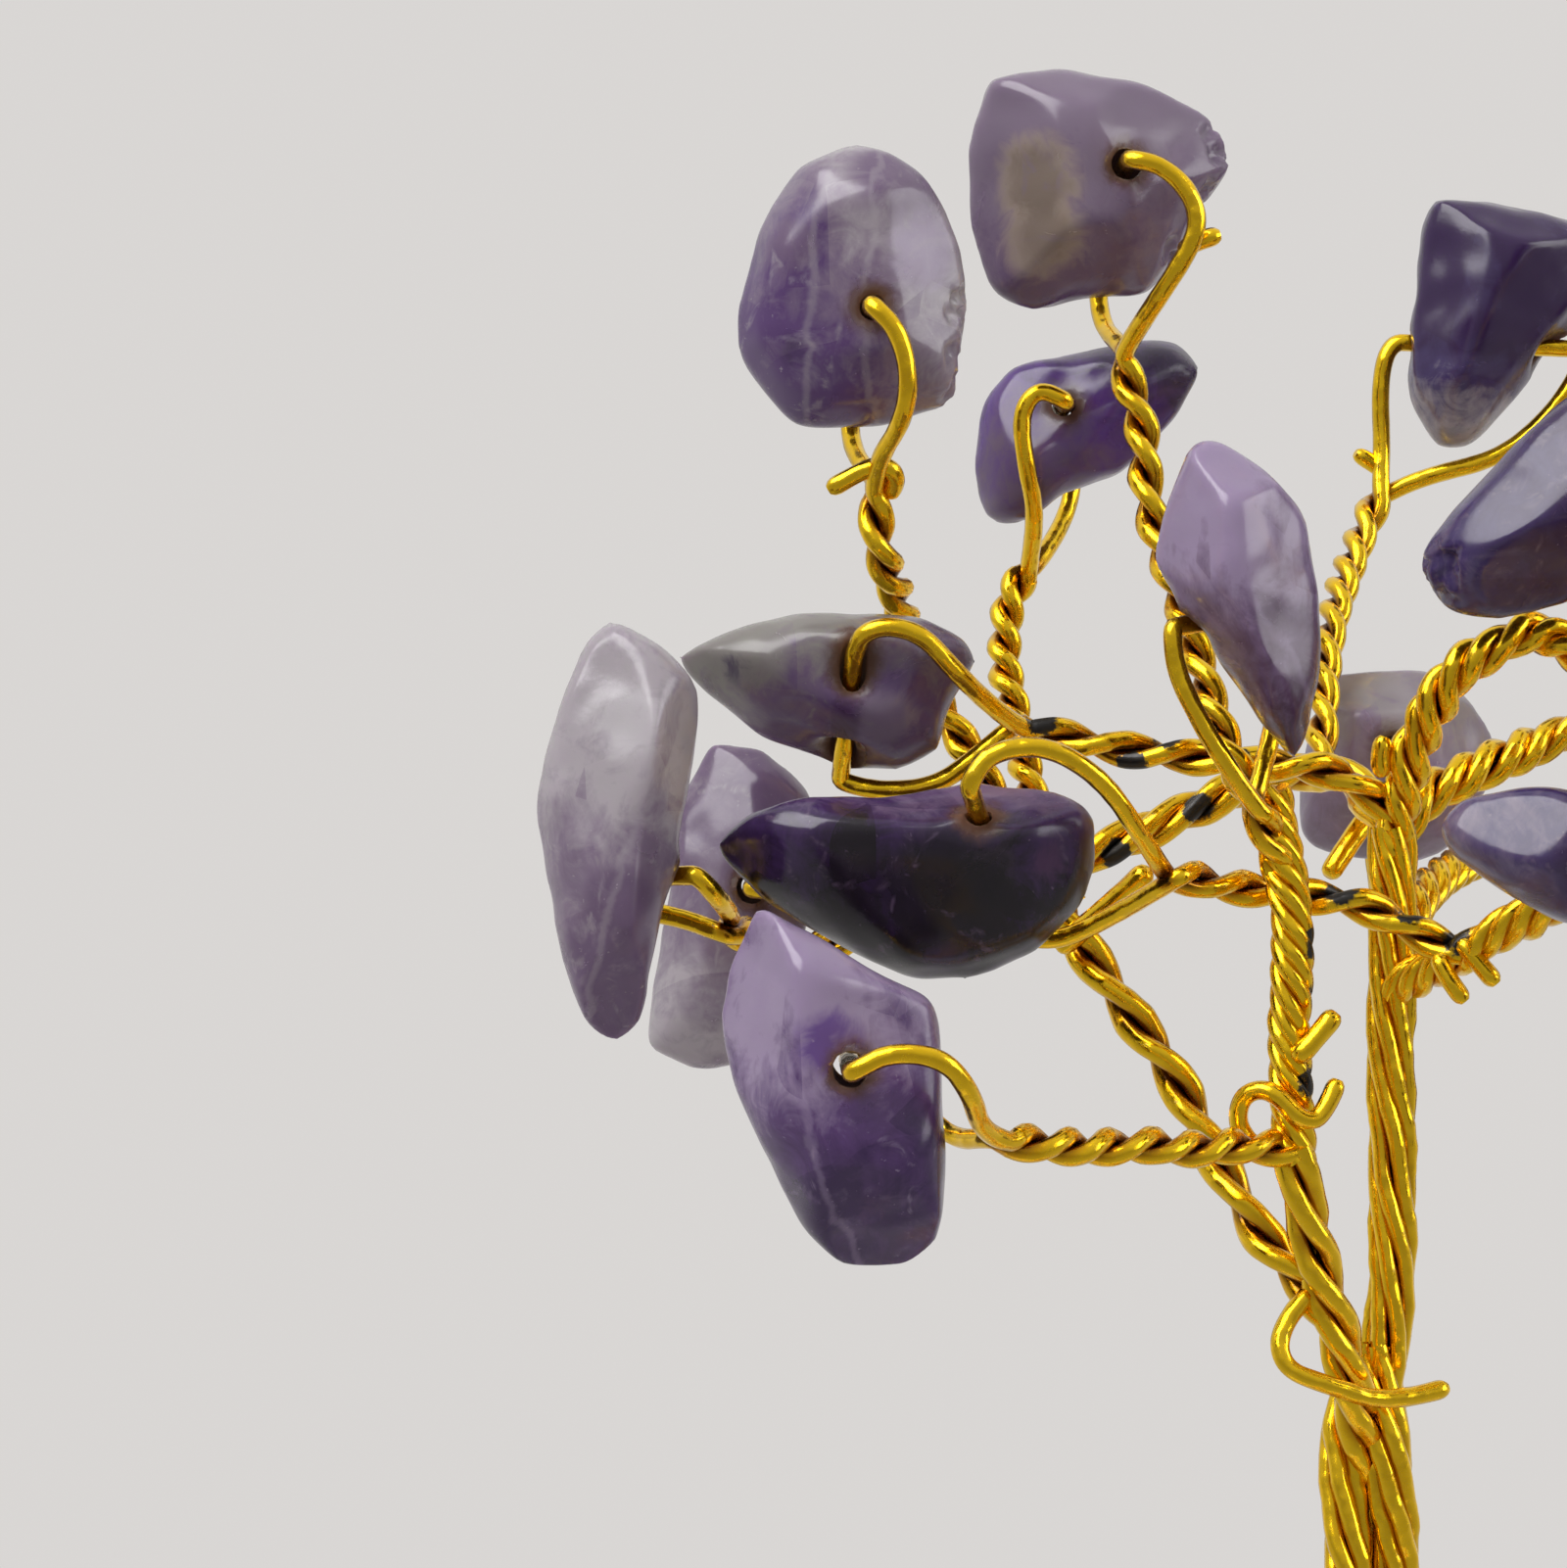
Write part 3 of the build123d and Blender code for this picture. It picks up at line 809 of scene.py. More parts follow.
@dataclass
class GoldWork:
    """Makes the gold pieces and dresses them."""

    finish: GoldEnamel = field(default_factory=GoldEnamel)
    marks: list[Place] = field(default_factory=lambda: [
        (1062, 735, -0.05), (1190, 748, -0.04), (1155, 783, -0.04), (1265, 780, -0.05),
        (1224, 825, 0.13), (1140, 872, 0.13), (1350, 1015, -0.12), (1339, 1105, -0.13),
        (1344, 962, -0.13), (1368, 908, -0.08), (1440, 925, -0.08), (1492, 962, -0.08),
        (1412, 797, 0.0), (690, 948, -0.02), (705, 936, -0.02),
    ])
    mark_radius: float = 0.42 * MILLIMETRE
    mark_fade: float = 0.5
    tuck_start: float = 0.42
    tuck_run: float = 0.5
    sides: int = 3
    weld_distance: float = 1e-7
    sharp_degrees: float = 50

    def __post_init__(self) -> None:
        """Make the one enamel that all the wire shares, and the places where it is chipped."""
        self.material = self.finish.material()
        self.chipped = kdtree.KDTree(len(self.marks))
        for number, place in enumerate(self.marks):
            self.chipped.insert(eye.seen_at(*place), number)
        self.chipped.balance()

    def mesh(self, name: str, strands: list[Strand]) -> bpy.types.Mesh:
        """Make round closed wires along strands.

        Args:
            name: The mesh's name.
            strands: The wires.

        Returns:
            One mesh of them all.
        """
        curve = bpy.data.curves.new(name, "CURVE")
        curve.dimensions = "3D"
        curve.bevel_depth = MILLIMETRE
        curve.bevel_resolution = self.sides
        curve.use_fill_caps = True
        for strand in strands:
            spline = curve.splines.new("POLY")
            spline.points.add(len(strand.points) - 1)
            for point, place, radius in zip(spline.points, strand.points, strand.radii):
                point.co = (*place, 1.0)
                point.radius = radius / MILLIMETRE
        mesh = mesh_of(curve, name)
        shape = bmesh.new()
        shape.from_mesh(mesh)
        bmesh.ops.remove_doubles(shape, verts=shape.verts, dist=self.weld_distance)
        bmesh.ops.recalc_face_normals(shape, faces=shape.faces)
        shape.to_mesh(mesh)
        shape.free()
        mesh.shade_smooth()
        mesh.set_sharp_from_angle(angle=math.radians(self.sharp_degrees))
        return mesh

    def colour(self, mesh: bpy.types.Mesh, lines: list[MiddleLine], reach: float) -> None:
        """Write how far out of its twist each point lies, for the painted shade in the twists, and whether
        its enamel is chipped.

        Args:
            mesh: The piece's mesh.
            lines: The middle lines of its twists, none for a wire on its own.
            reach: The twists' own radius.
        """
        tuck_shade = mesh.attributes.new("tuck_shade", "FLOAT", "POINT")
        mark = mesh.attributes.new("mark", "FLOAT", "POINT")
        points = [point for line in lines for point in line.points]
        middle = kdtree.KDTree(len(points))
        for number, point in enumerate(points):
            middle.insert(point, number)
        middle.balance()
        for vertex in mesh.vertices:
            out = middle.find(vertex.co)[2] / reach if points else 1.0
            tuck_shade.data[vertex.index].value = min(1.0, max(0.0, (out - self.tuck_start) / self.tuck_run))
            gap = self.chipped.find(vertex.co)[2]
            mark.data[vertex.index].value = max(0.0, 1 - self.mark_fade * gap / self.mark_radius)

    def make(self, name: str, strands: list[Strand], lines: list[MiddleLine], reach: float,
             nodes: list[str]) -> None:
        """Make strands into one piece of gold wire on the tree, in place of its solids.

        Args:
            name: The piece's name.
            strands: Its wires.
            lines: The middle lines of its twists, none for a wire on its own.
            reach: The twists' own radius.
            nodes: The solids that it stands for.
        """
        mesh = self.mesh(name, strands)
        self.colour(mesh, lines, reach)
        mesh.materials.append(self.material)
        piece = link(mesh.name, mesh)
        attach(piece, "tree")
        if nodes:
            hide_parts(*nodes)
        log.info("%s: %d faces", mesh.name, len(mesh.polygons))


@dataclass
class Rope:
    """A limb or the upper trunk: stretches of route, each with its own strands twisted along it."""

    node: str
    stretches: list[tuple[list[Place], Lay]]

    def build(self, gold: GoldWork) -> None:
        """Make the rope and dress it.

        Args:
            gold: What makes gold wire.
        """
        lines = []
        strands = []
        for number, (route, lay) in enumerate(self.stretches):
            line = MiddleLine.laid(eye.route(route))
            lines.append(line)
            strands += lay.twist(line, seed=len(self.node) * 1.37 + number)
        gold.make(self.node + "_strands", strands, lines, self.stretches[0][1].diameter / 2, [self.node])


PAIR_DIAMETER = 0.96 * MILLIMETRE
WIRE_DIAMETER = 0.5 * MILLIMETRE
LIMB_DIAMETER = 1.12 * MILLIMETRE
CHIP_THICKNESS = 4.0 * MILLIMETRE
LEG_CLEARANCE = 0.35 * MILLIMETRE


@dataclass(frozen=True)
class Bore:
    """The line that a stone is drilled along."""

    foot: Vector
    along: Vector

    def arm(self, point: Vector) -> Vector:
        """The way out to a point from the line, square to it."""
        arm = point - self.foot
        return arm - self.along * arm.dot(self.along)


@dataclass
class HungStone:
    """A drilled stone and its wire, which folds in the stone's hole and twists on itself below.

    Attributes:
        name: The stone's letter.
        depth_share: How far behind the trunk it hangs, as a share of the crown's depth.
        thickness_share: Its thickness, as a share of the usual one.
        mouths: The two ends of its hole, the one that the front leg leaves first.
        front_leg: The leg's points from that mouth down. The third value of each, as of the mouths, back
            leg and crotch, goes from -1, just in front of the stone, to 1, just behind it.
        back_leg: The other leg's points, from the other mouth down.
        crotch: Where the legs meet.
        twig: The rest of the twisted pair's route.
        finish: Its quartz.
        facets: Which way each large facet faces, and how far out it lies as a share of the stone.
        clouds: The column, row, width in millimetres and colour of each cloud.
        veins: The columns and rows of both ends of each pale vein.
        nicks: The column, row and width in millimetres of each broken bit of edge.
        middle: The column and row of its middle, for a stone that is turned.
        turn: How far it is turned about the upright, in degrees.
        pitch: How far its twisted pair runs in one turn.
        phase: The angle at which the pair's first strand starts.
    """

    GRAIN = 0.15 * MILLIMETRE
    RUBS_BEFORE_PRESSING = 10
    RUBS_AFTER_PRESSING = 12
    PRESSING = 0.97
    SWELLS = ((0.38, 0.16), (1.1, 0.05))
    SHRINKING = 0.03
    NICK_SCALE = 2.3
    NICK_DEPTH = 0.9
    NICK_LIFT = 0.15
    LEAD = 3
    INNER_SHARES = (0.85, 0.0, -0.85)
    RUST_AND_SHADE_WIDTH = 0.75 * MILLIMETRE
    RUST_AND_SHADE_START = 1.4
    CLOUD_SIDE = -0.7
    VEIN_LEAN = (0.15, 1, 0)
    WIRE_ROOM = 0.29 * MILLIMETRE
    HOLE_STEPS = ((0.35, 0.29), (0.65, 0.35), (1.0, 1.0))
    FACING_OUT = 0.6

    name: str
    depth_share: float
    thickness_share: float
    mouths: tuple[Place, Place]
    front_leg: list[Place]
    back_leg: list[Place]
    crotch: Place
    twig: list[Place]
    finish: VioletQuartz
    facets: tuple[tuple[Place, float], ...] = (
        ((-0.5, -0.8, 0.3), 0.8), ((0.6, -0.75, -0.2), 0.82), ((0.2, 0.9, 0.3), 0.85),
    )
    clouds: tuple[tuple[float, float, float, Colour], ...] = ()
    veins: tuple[tuple[float, float, float, float], ...] = ()
    nicks: tuple[Place, ...] = ()
    middle: tuple[float, float] = (0.0, 0.0)
    turn: float = 0.0
    pitch: float = 2.6 * MILLIMETRE
    phase: float = 0.0

    def beside(self, column: float, row: float, side_share: float) -> Vector:
        """Find a point in or beside the stone.

        Args:
            column: The picture's column.
            row: The picture's row.
            side_share: From -1, just in front of the stone's face, to 1, just behind its back.

        Returns:
            The point, turned with the stone.
        """
        reach = self.thickness_share * CHIP_THICKNESS / 2 + LEG_CLEARANCE + WIRE_DIAMETER / 2
        centre = eye.seen_at(*self.middle, self.depth_share)
        arm = eye.seen_at(column, row, self.depth_share) - centre
        arm.y = side_share * reach
        return centre + Matrix.Rotation(math.radians(self.turn), 3, "Z") @ arm

    def wire(self, gold: GoldWork) -> None:
        """Make the loop and the twisted pair as one wire, and dress it.

        Args:
            gold: What makes gold wire.
        """
        pair = [self.beside(*self.crotch)] + eye.route(self.twig)
        line = MiddleLine.laid(pair)
        lay = Lay(2, PAIR_DIAMETER, self.pitch, phase=self.phase, looseness=0.05)
        strands = lay.twist(line, seed=ord(self.name) * 0.73)
        first, second = self.nearest_legs(strands)
        inner = [self.within(share) for share in self.INNER_SHARES]
        loop = [self.beside(*place) for place in self.front_leg[::-1]]
        loop += [self.beside(*self.mouths[0])] + inner + [self.beside(*self.mouths[1])]
        loop += [self.beside(*place) for place in self.back_leg]
        lead = self.LEAD
        places = first.points[lead * 3:0:-lead] + loop + second.points[1:lead * 3:lead]
        arch = MiddleLine.laid(places)
        radii = [WIRE_DIAMETER / 2 * worn_share(point, 0.08, 1.3) for point in arch.points]
        parts = [
            Strand(first.points[lead * 2:], first.radii[lead * 2:]),
            Strand(second.points[lead * 2:], second.radii[lead * 2:]),
            Strand(arch.points, radii),
        ]
        gold.make(f"wire_{self.name}_twist", parts, [line], PAIR_DIAMETER / 2, [f"wire_{self.name}"])

    def within(self, share: float) -> Vector:
        """A point in the hole, at a share of the way from its middle to its front mouth."""
        first, last = (self.beside(*mouth) for mouth in self.mouths)
        return last.lerp(first, 0.5 + share / 2)

    def nearest_legs(self, strands: list[Strand]) -> tuple[Strand, Strand]:
        """The pair's strands, the one nearest the front leg first."""
        foot = self.beside(*self.front_leg[-1])
        return tuple(sorted(strands, key=lambda strand: (strand.points[0] - foot).length))

    def bore(self) -> Bore:
        """The line of the stone's hole."""
        first, last = (self.beside(*mouth) for mouth in self.mouths)
        return Bore(last, (first - last).normalized())

    def press(self, shape: bmesh.types.BMesh, middle: Vector) -> None:
        """Flatten the stone where its large facets lie.

        Args:
            shape: The stone.
            middle: Its middle.
        """
        about = Matrix.Rotation(math.radians(self.turn), 3, "Z")
        for facing, share in self.facets:
            normal = about @ Vector(facing).normalized()
            reach = share * max((vertex.co - middle).dot(normal) for vertex in shape.verts)
            for vertex in shape.verts:
                proud = (vertex.co - middle).dot(normal) - reach
                if proud > 0:
                    vertex.co -= normal * proud * self.PRESSING

    def swell(self, shape: bmesh.types.BMesh) -> None:
        """Make the stone's faces a little uneven.

        Args:
            shape: The stone.
        """
        seed = Vector((ord(self.name) * 3.7, 0, 0))
        for vertex in shape.verts:
            at = vertex.co / MILLIMETRE
            swell = sum(noise.noise(at * scale + seed) * height for scale, height in self.SWELLS)
            vertex.co += vertex.normal * (swell - self.SHRINKING) * MILLIMETRE

    def close_in(self, shape: bmesh.types.BMesh, bore: Bore) -> None:
        """Draw the hole's wall in to the wire, by easing the stone about it.

        Args:
            shape: The stone.
            bore: The line of its hole.
        """
        for vertex in shape.verts:
            arm = bore.arm(vertex.co)
            out = arm.length / MILLIMETRE
            facing_out = vertex.normal.dot(arm.normalized())
            share = min(1.0, max(0.0, 1 - facing_out / self.FACING_OUT))
            for (inner, inner_to), (outer, outer_to) in zip(self.HOLE_STEPS, self.HOLE_STEPS[1:]):
                if inner <= out < outer:
                    reach = inner_to + (outer_to - inner_to) * (out - inner) / (outer - inner)
                    vertex.co += arm.normalized() * (reach - out) * share * MILLIMETRE

    def free_wire(self, shape: bmesh.types.BMesh, bore: Bore) -> None:
        """Push the hole's wall back from the wire where the stone has swelled on to it.

        Args:
            shape: The stone.
            bore: The line of its hole.
        """
        for vertex in shape.verts:
            arm = bore.arm(vertex.co)
            if arm.length < self.WIRE_ROOM:
                vertex.co += arm.normalized() * (self.WIRE_ROOM - arm.length)

    def nick(self, shape: bmesh.types.BMesh, middle: Vector) -> None:
        """Break bits out of the stone's edge where it is ragged.

        Args:
            shape: The stone.
            middle: Its middle.
        """
        for column, row, width in self.nicks:
            place = self.beside(column, row, 0.0)
            inward = (middle - place).normalized()
            for vertex in shape.verts:
                arm = vertex.co - place
                gap = math.hypot(arm.x, arm.z) / (width * MILLIMETRE)
                if gap < 1:
                    jag = max(0.0, noise.noise(vertex.co / MILLIMETRE * self.NICK_SCALE) + self.NICK_LIFT)
                    vertex.co += inward * (1 - gap * gap) * jag * self.NICK_DEPTH * width * MILLIMETRE

    def rust_and_hole_shade(self, mesh: bpy.types.Mesh, bore: Bore) -> None:
        """Write how near each point of the stone is to the line of its hole, for the rust at its mouths and
        the painted shade down its wall.

        Args:
            mesh: The stone's mesh.
            bore: The line of its hole.
        """
        near = mesh.attributes.new("rust_and_hole_shade", "FLOAT", "POINT")
        for vertex in mesh.vertices:
            gap = bore.arm(vertex.co).length
            near.data[vertex.index].value = max(0.0, min(1.0, self.RUST_AND_SHADE_START - gap / self.RUST_AND_SHADE_WIDTH))

    def finish_of(self, middle: Vector) -> bpy.types.Material:
        """Make the stone's quartz, with its clouds and veins where the eye sees them.

        Args:
            middle: The stone's middle.

        Returns:
            The material.
        """
        clouds = [
            ((self.beside(column, row, self.CLOUD_SIDE) - middle) / MILLIMETRE, width, tint)
            for column, row, width, tint in self.clouds
        ]
        veins = []
        for column, row, last_column, last_row in self.veins:
            start = (self.beside(column, row, 0.0) - middle) / MILLIMETRE
            run = (self.beside(last_column, last_row, 0.0) - middle) / MILLIMETRE - start
            normal = run.cross(Vector(self.VEIN_LEAN)).normalized()
            veins.append((normal, normal.dot(start)))
        return self.finish.material("quartz_" + self.name, middle, clouds, veins)

    def stone(self) -> None:
        """Make the stone: the drilled solid, worn round, uneven and polished, and dress it."""
        node = "chip_" + self.name
        worn = even_mesh(node, node + "_worn", self.GRAIN)
        shape = bmesh.new()
        shape.from_mesh(worn)
        low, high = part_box(node)
        middle = (low + high) / 2
        bore = self.bore()
        rub(shape, self.RUBS_BEFORE_PRESSING)
        self.press(shape, middle)
        rub(shape, self.RUBS_AFTER_PRESSING)
        self.nick(shape, middle)
        shape.normal_update()
        self.close_in(shape, bore)
        shape.normal_update()
        self.swell(shape)
        self.free_wire(shape, bore)
        polish(shape, worn, self.finish_of(middle))
        self.rust_and_hole_shade(worn, bore)
        piece = link(node + "_stone", worn)
        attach(piece, "stone_" + self.name)
        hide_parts(node)
        log.info("%s: %d faces", piece.name, len(worn.polygons))


LILAC_GREY: Colour = (0.205, 0.155, 0.225, 1)
PALE_LILAC: Colour = (0.31, 0.24, 0.37, 1)
CLEAR_GREY: Colour = (0.38, 0.345, 0.375, 1)
MAUVE: Colour = (0.14, 0.09, 0.165, 1)
VIOLET: Colour = (0.090, 0.042, 0.148, 1)
DEEP_VIOLET: Colour = (0.036, 0.014, 0.070, 1)
BLUE_VIOLET: Colour = (0.058, 0.038, 0.125, 1)
PLUM: Colour = (0.058, 0.024, 0.058, 1)
NEAR_BLACK: Colour = (0.006, 0.003, 0.008, 1)
OLIVE_GREY: Colour = (0.23, 0.215, 0.20, 1)
TAN_GREY: Colour = (0.20, 0.155, 0.125, 1)
RIM_GREY: Colour = (0.36, 0.29, 0.235, 1)
STRONG_VIOLET: Colour = (0.10, 0.038, 0.225, 1)


def seen_stones() -> list[HungStone]:
    """The thirteen stones that the view shows."""
    return [
        HungStone(
            "a", -0.04, 1.15, ((888, 323, -1), (888, 323, 1)),
            [(915, 350, -1), (926, 400, -1), (918, 440, -0.8), (898, 468, -0.4)],
            [(872, 385, 1), (868, 450, 0.75)], (892, 490, 0),
            [
                (894, 540, -0.04), (903, 575, -0.03), (917, 606, 0.03), (926, 650, 0.1),
                (950, 705, 0.11), (982, 756, 0.105), (1012, 808, 0.085), (1050, 872, 0.055),
            ],
            VioletQuartz(CLEAR_GREY, LILAC_GREY, VIOLET, (-0.9, 0, -0.4), shift=-0.6),
            clouds=(
                (925, 178, 1.9, MAUVE), (955, 262, 1.6, PALE_LILAC), (800, 255, 1.3, MAUVE),
                (800, 372, 1.1, DEEP_VIOLET),
            ),
            veins=((852, 170, 838, 330), (905, 180, 900, 300)),
            nicks=((992, 318, 0.7), (984, 372, 0.6), (982, 405, 0.5)),
            facets=(((0.6, -0.8, 0.1), 0.80), ((-0.25, -0.97, -0.05), 0.84), ((0.1, 0.9, 0.4), 0.85)),
        ),
        HungStone(
            "b", 0.08, 1.1, ((1145, 177, -1), (1145, 177, 1)),
            [(1178, 184, -1), (1206, 212, -1), (1214, 246, -1), (1196, 282, -0.9), (1172, 318, -0.7)],
            [(1130, 235, 1), (1128, 318, 0.9)], (1144, 354, 0),
            [
                (1150, 386, 0.075), (1163, 420, 0.07), (1168, 455, 0.06), (1170, 495, 0.05),
                (1180, 545, 0.035), (1204, 610, 0.01), (1225, 680, -0.03), (1243, 742, -0.085),
                (1270, 800, -0.115), (1303, 862, -0.13),
            ],
            VioletQuartz(LILAC_GREY, LILAC_GREY, MAUVE, (0.3, 0, -0.9), shift=-0.6),
            clouds=(
                (1045, 195, 1.75, RIM_GREY), (1047, 252, 1.85, RIM_GREY),
                (1045, 195, 1.45, TAN_GREY), (1047, 252, 1.55, TAN_GREY),
            ),
            nicks=((1258, 140, 0.9), (1235, 205, 0.6), (1205, 262, 0.5)),
            facets=(((-0.62, -0.76, -0.12), 0.74), ((0.5, -0.8, 0.35), 0.78), ((0, -0.7, -0.7), 0.86)),
        ),
        HungStone(
            "c", 0.24, 0.95, ((1083, 418, -1), (1083, 418, 1)),
            [(1054, 404, -1), (1036, 430, -1), (1042, 480, -1), (1054, 528, -0.7)],
            [(1104, 470, 1), (1096, 520, 0.85)], (1056, 572, 0),
            [
                (1034, 600, 0.24), (1025, 640, 0.23), (1025, 685, 0.21), (1036, 730, 0.18),
                (1048, 790, 0.14), (1062, 850, 0.1), (1092, 925, 0.035),
            ],
            VioletQuartz(MAUVE, STRONG_VIOLET, DEEP_VIOLET, (0.3, 0, 1)),
            facets=(((-0.3, -0.85, 0.45), 0.78), ((0.5, -0.8, -0.3), 0.80)), pitch=1.9 * MILLIMETRE,
        ),
        HungStone(
            "d", 0.48, 1.15, ((1424, 349, 0), (1618, 356, 0)),
            [(1413, 366, 0), (1409, 402, 0), (1411, 450, 0)],
            [(1606, 392, 0), (1575, 432, 0), (1530, 468, 0), (1455, 486, 0)], (1412, 497, 0),
            [
                (1396, 530, 0.46), (1380, 570, 0.4), (1366, 610, 0.33), (1356, 650, 0.26),
                (1350, 700, 0.2), (1350, 740, 0.16), (1346, 784, 0.12),
            ],
            VioletQuartz(DEEP_VIOLET, BLUE_VIOLET, CLEAR_GREY, (-0.3, 0, -1), shift=2.3, spread=2.0),
            facets=(((0.45, -0.85, -0.25), 0.74), ((-0.6, -0.75, 0.1), 0.80)),
        ),
        HungStone(
            "e", -0.16, 1.1, ((1630, 540, -1), (1630, 540, 1)), [(1644, 595, -1), (1646, 638, -0.6)],
            [(1630, 595, 1), (1634, 638, 0.6)], (1640, 664, 0), [(1650, 711, -0.125)],
            VioletQuartz(LILAC_GREY, BLUE_VIOLET, DEEP_VIOLET, (1, 0, 0.2), shift=-2.5),
            nicks=((1458, 575, 0.7), (1478, 600, 0.6)),
            facets=(((-0.5, -0.7, 0.5), 0.76), ((0.1, -0.75, -0.65), 0.78)),
        ),
        HungStone(
            "f", -0.2, 1.0, ((1196, 640, 0), (1300, 622, 1)),
            [(1200, 684, 0), (1222, 730, 0), (1246, 770, 0.05)],
            [(1318, 670, 1), (1312, 740, 0.9)], (1282, 812, 0.3),
            [(1292, 842, -0.15), (1308, 890, -0.12)],
            VioletQuartz(PALE_LILAC, MAUVE, PLUM, (0.2, 0, -1), shift=0.4),
            facets=(((-0.8, -0.6, 0.0), 0.72), ((0.6, -0.8, 0.05), 0.74), ((0.2, -0.7, 0.7), 0.88)),
            veins=((1240, 530, 1285, 610),),
        ),
        HungStone(
            "g", -0.18, 0.9, ((712, 893, 0), (566, 900, 1)), [(732, 915, 0.1)],
            [(610, 925, 1), (690, 938, 0.95)], (742, 946, 0.7),
            [(776, 966, 0.02), (815, 964, 0.05), (864, 962, 0.065), (930, 928, 0.1)],
            VioletQuartz(CLEAR_GREY, LILAC_GREY, MAUVE, (0.1, 0, -1), shift=0.4, spread=4.0),
            clouds=((640, 735, 1.4, (0.50, 0.47, 0.50, 1)), (640, 930, 1.5, MAUVE)),
            veins=((650, 870, 690, 740),),
            facets=(((-0.4, -0.9, 0.2), 0.76), ((0.85, -0.5, -0.1), 0.72), ((0.1, -0.8, -0.6), 0.82)),
        ),
        HungStone(
            "h", -0.04, 1.0, ((871, 669, -0.81), (858, 798, 0.25)),
            [(880, 648, -0.98), (908, 642, -1), (940, 652, -1), (972, 688, -0.9), (1010, 722, -0.5)],
            [(902, 808, 0.2), (958, 802, 0.15), (1000, 770, 0.1)], (1036, 740, 0),
            [
                (1062, 746, -0.04), (1105, 757, -0.035), (1155, 766, -0.03), (1205, 771, -0.03),
                (1255, 778, -0.03), (1305, 780, -0.03), (1350, 784, -0.028), (1385, 797, -0.015),
                (1423, 830, 0.0),
            ],
            VioletQuartz(OLIVE_GREY, MAUVE, VIOLET, (0.2, -0.6, -0.8), shift=0.5, spread=1.6),
            facets=(((-0.7, -0.6, -0.4), 0.92),),
            clouds=(
                (760, 655, 1.7, OLIVE_GREY), (740, 700, 1.2, DEEP_VIOLET), (905, 740, 1.3, LILAC_GREY),
            ),
            pitch=3.4 * MILLIMETRE,
        ),
        HungStone(
            "i", 0.14, 0.8, ((768, 905, -1), (768, 905, 1)), [(800, 909, -1), (850, 926, -0.7)],
            [(800, 912, 1), (850, 930, 0.7)], (880, 932, 0), [(910, 940, 0.13), (955, 922, 0.11)],
            VioletQuartz(CLEAR_GREY, LILAC_GREY, MAUVE, (0.3, 0, 1), shift=-1.0),
        ),
        HungStone(
            "j", -0.16, 1.05, ((984, 800, -1), (1045, 960, 1)),
            [(1005, 768, -0.95), (1062, 760, -0.9), (1120, 795, -0.8), (1164, 856, -0.4)],
            [(1090, 965, 1), (1150, 932, 0.6)], (1190, 893, 0),
            [
                (1230, 898, -0.12), (1275, 908, -0.078), (1322, 914, -0.07), (1378, 919, -0.068),
                (1420, 936, -0.068), (1452, 954, -0.066), (1492, 976, -0.072),
            ],
            # Painted shade on this dark stone: it runs to near black towards its lower front face, where
            # its near-black clouds also lie.
            VioletQuartz(
                MAUVE, DEEP_VIOLET, NEAR_BLACK, (-0.2, -0.5, -1), shift=-1.0, spread=1.6,
                clearness=0.10, veiling=0.12,
            ),
            facets=(((0.05, -0.50, 0.86), 0.80), ((0.0, -0.92, -0.35), 0.78), ((-0.6, -0.7, -0.3), 0.88)),
            clouds=((965, 905, 2.0, (0.004, 0.002, 0.006, 1)), (1075, 880, 1.0, (0.05, 0.018, 0.06, 1))),
            pitch=3.4 * MILLIMETRE,
        ),
        HungStone(
            "k", -0.34, 1.05, ((868, 1087, -1), (868, 1087, 1)),
            [(905, 1066, -1), (960, 1072, -1), (988, 1110, -0.8), (1000, 1150, -0.3)],
            [(925, 1120, 1), (975, 1172, 0.8)], (1016, 1166, 0),
            [
                (1062, 1166, -0.31), (1112, 1173, -0.27), (1162, 1167, -0.235),
                (1212, 1174, -0.2), (1262, 1168, -0.165), (1322, 1174, -0.12),
            ],
            VioletQuartz(PALE_LILAC, VIOLET, DEEP_VIOLET, (0.3, 0, -1), shift=0.4, spread=3.0),
            facets=(((-0.85, -0.5, 0.05), 0.72), ((0.4, -0.9, 0.15), 0.78), ((0.0, -0.75, -0.65), 0.80)),
            clouds=((850, 1060, 1.2, STRONG_VIOLET), (915, 1050, 1.1, PALE_LILAC), (890, 1255, 1.4, PLUM)),
            veins=((800, 1010, 850, 1200),),
        ),
        HungStone(
            "l", 0.32, 0.9, ((1412, 765, -1), (1412, 765, 1)),
            [(1420, 796, -1.02), (1416, 850, -1), (1418, 899, -0.75)],
            [(1406, 796, 1.02), (1412, 850, 1), (1414, 899, 0.75)], (1418, 926, 0),
            [(1424, 950, 0.28), (1436, 950, 0.2), (1450, 916, 0.095)],
            VioletQuartz(CLEAR_GREY, PALE_LILAC, LILAC_GREY, (0, 0, -1)),
            facets=(((0.0, -0.5, 0.85), 0.80), ((0.7, -0.7, 0.1), 0.80)),
        ),
        HungStone(
            "m", -0.32, 1.0, ((1620, 868, -1), (1620, 868, 1)), [(1665, 878, -1), (1705, 895, -0.6)],
            [(1665, 882, 1), (1705, 900, 0.6)], (1732, 902, 0),
            [(1755, 910, -0.26), (1785, 925, -0.18)],
            VioletQuartz(LILAC_GREY, BLUE_VIOLET, DEEP_VIOLET, (1, 0, 0), shift=-1.0),
            facets=(((-0.4, -0.8, 0.45), 0.72), ((0.2, -0.8, -0.6), 0.78)),
        ),
    ]


LEG_SHARES = ((0.2, 1.03), (0.6, 1.0), (0.83, 0.82))


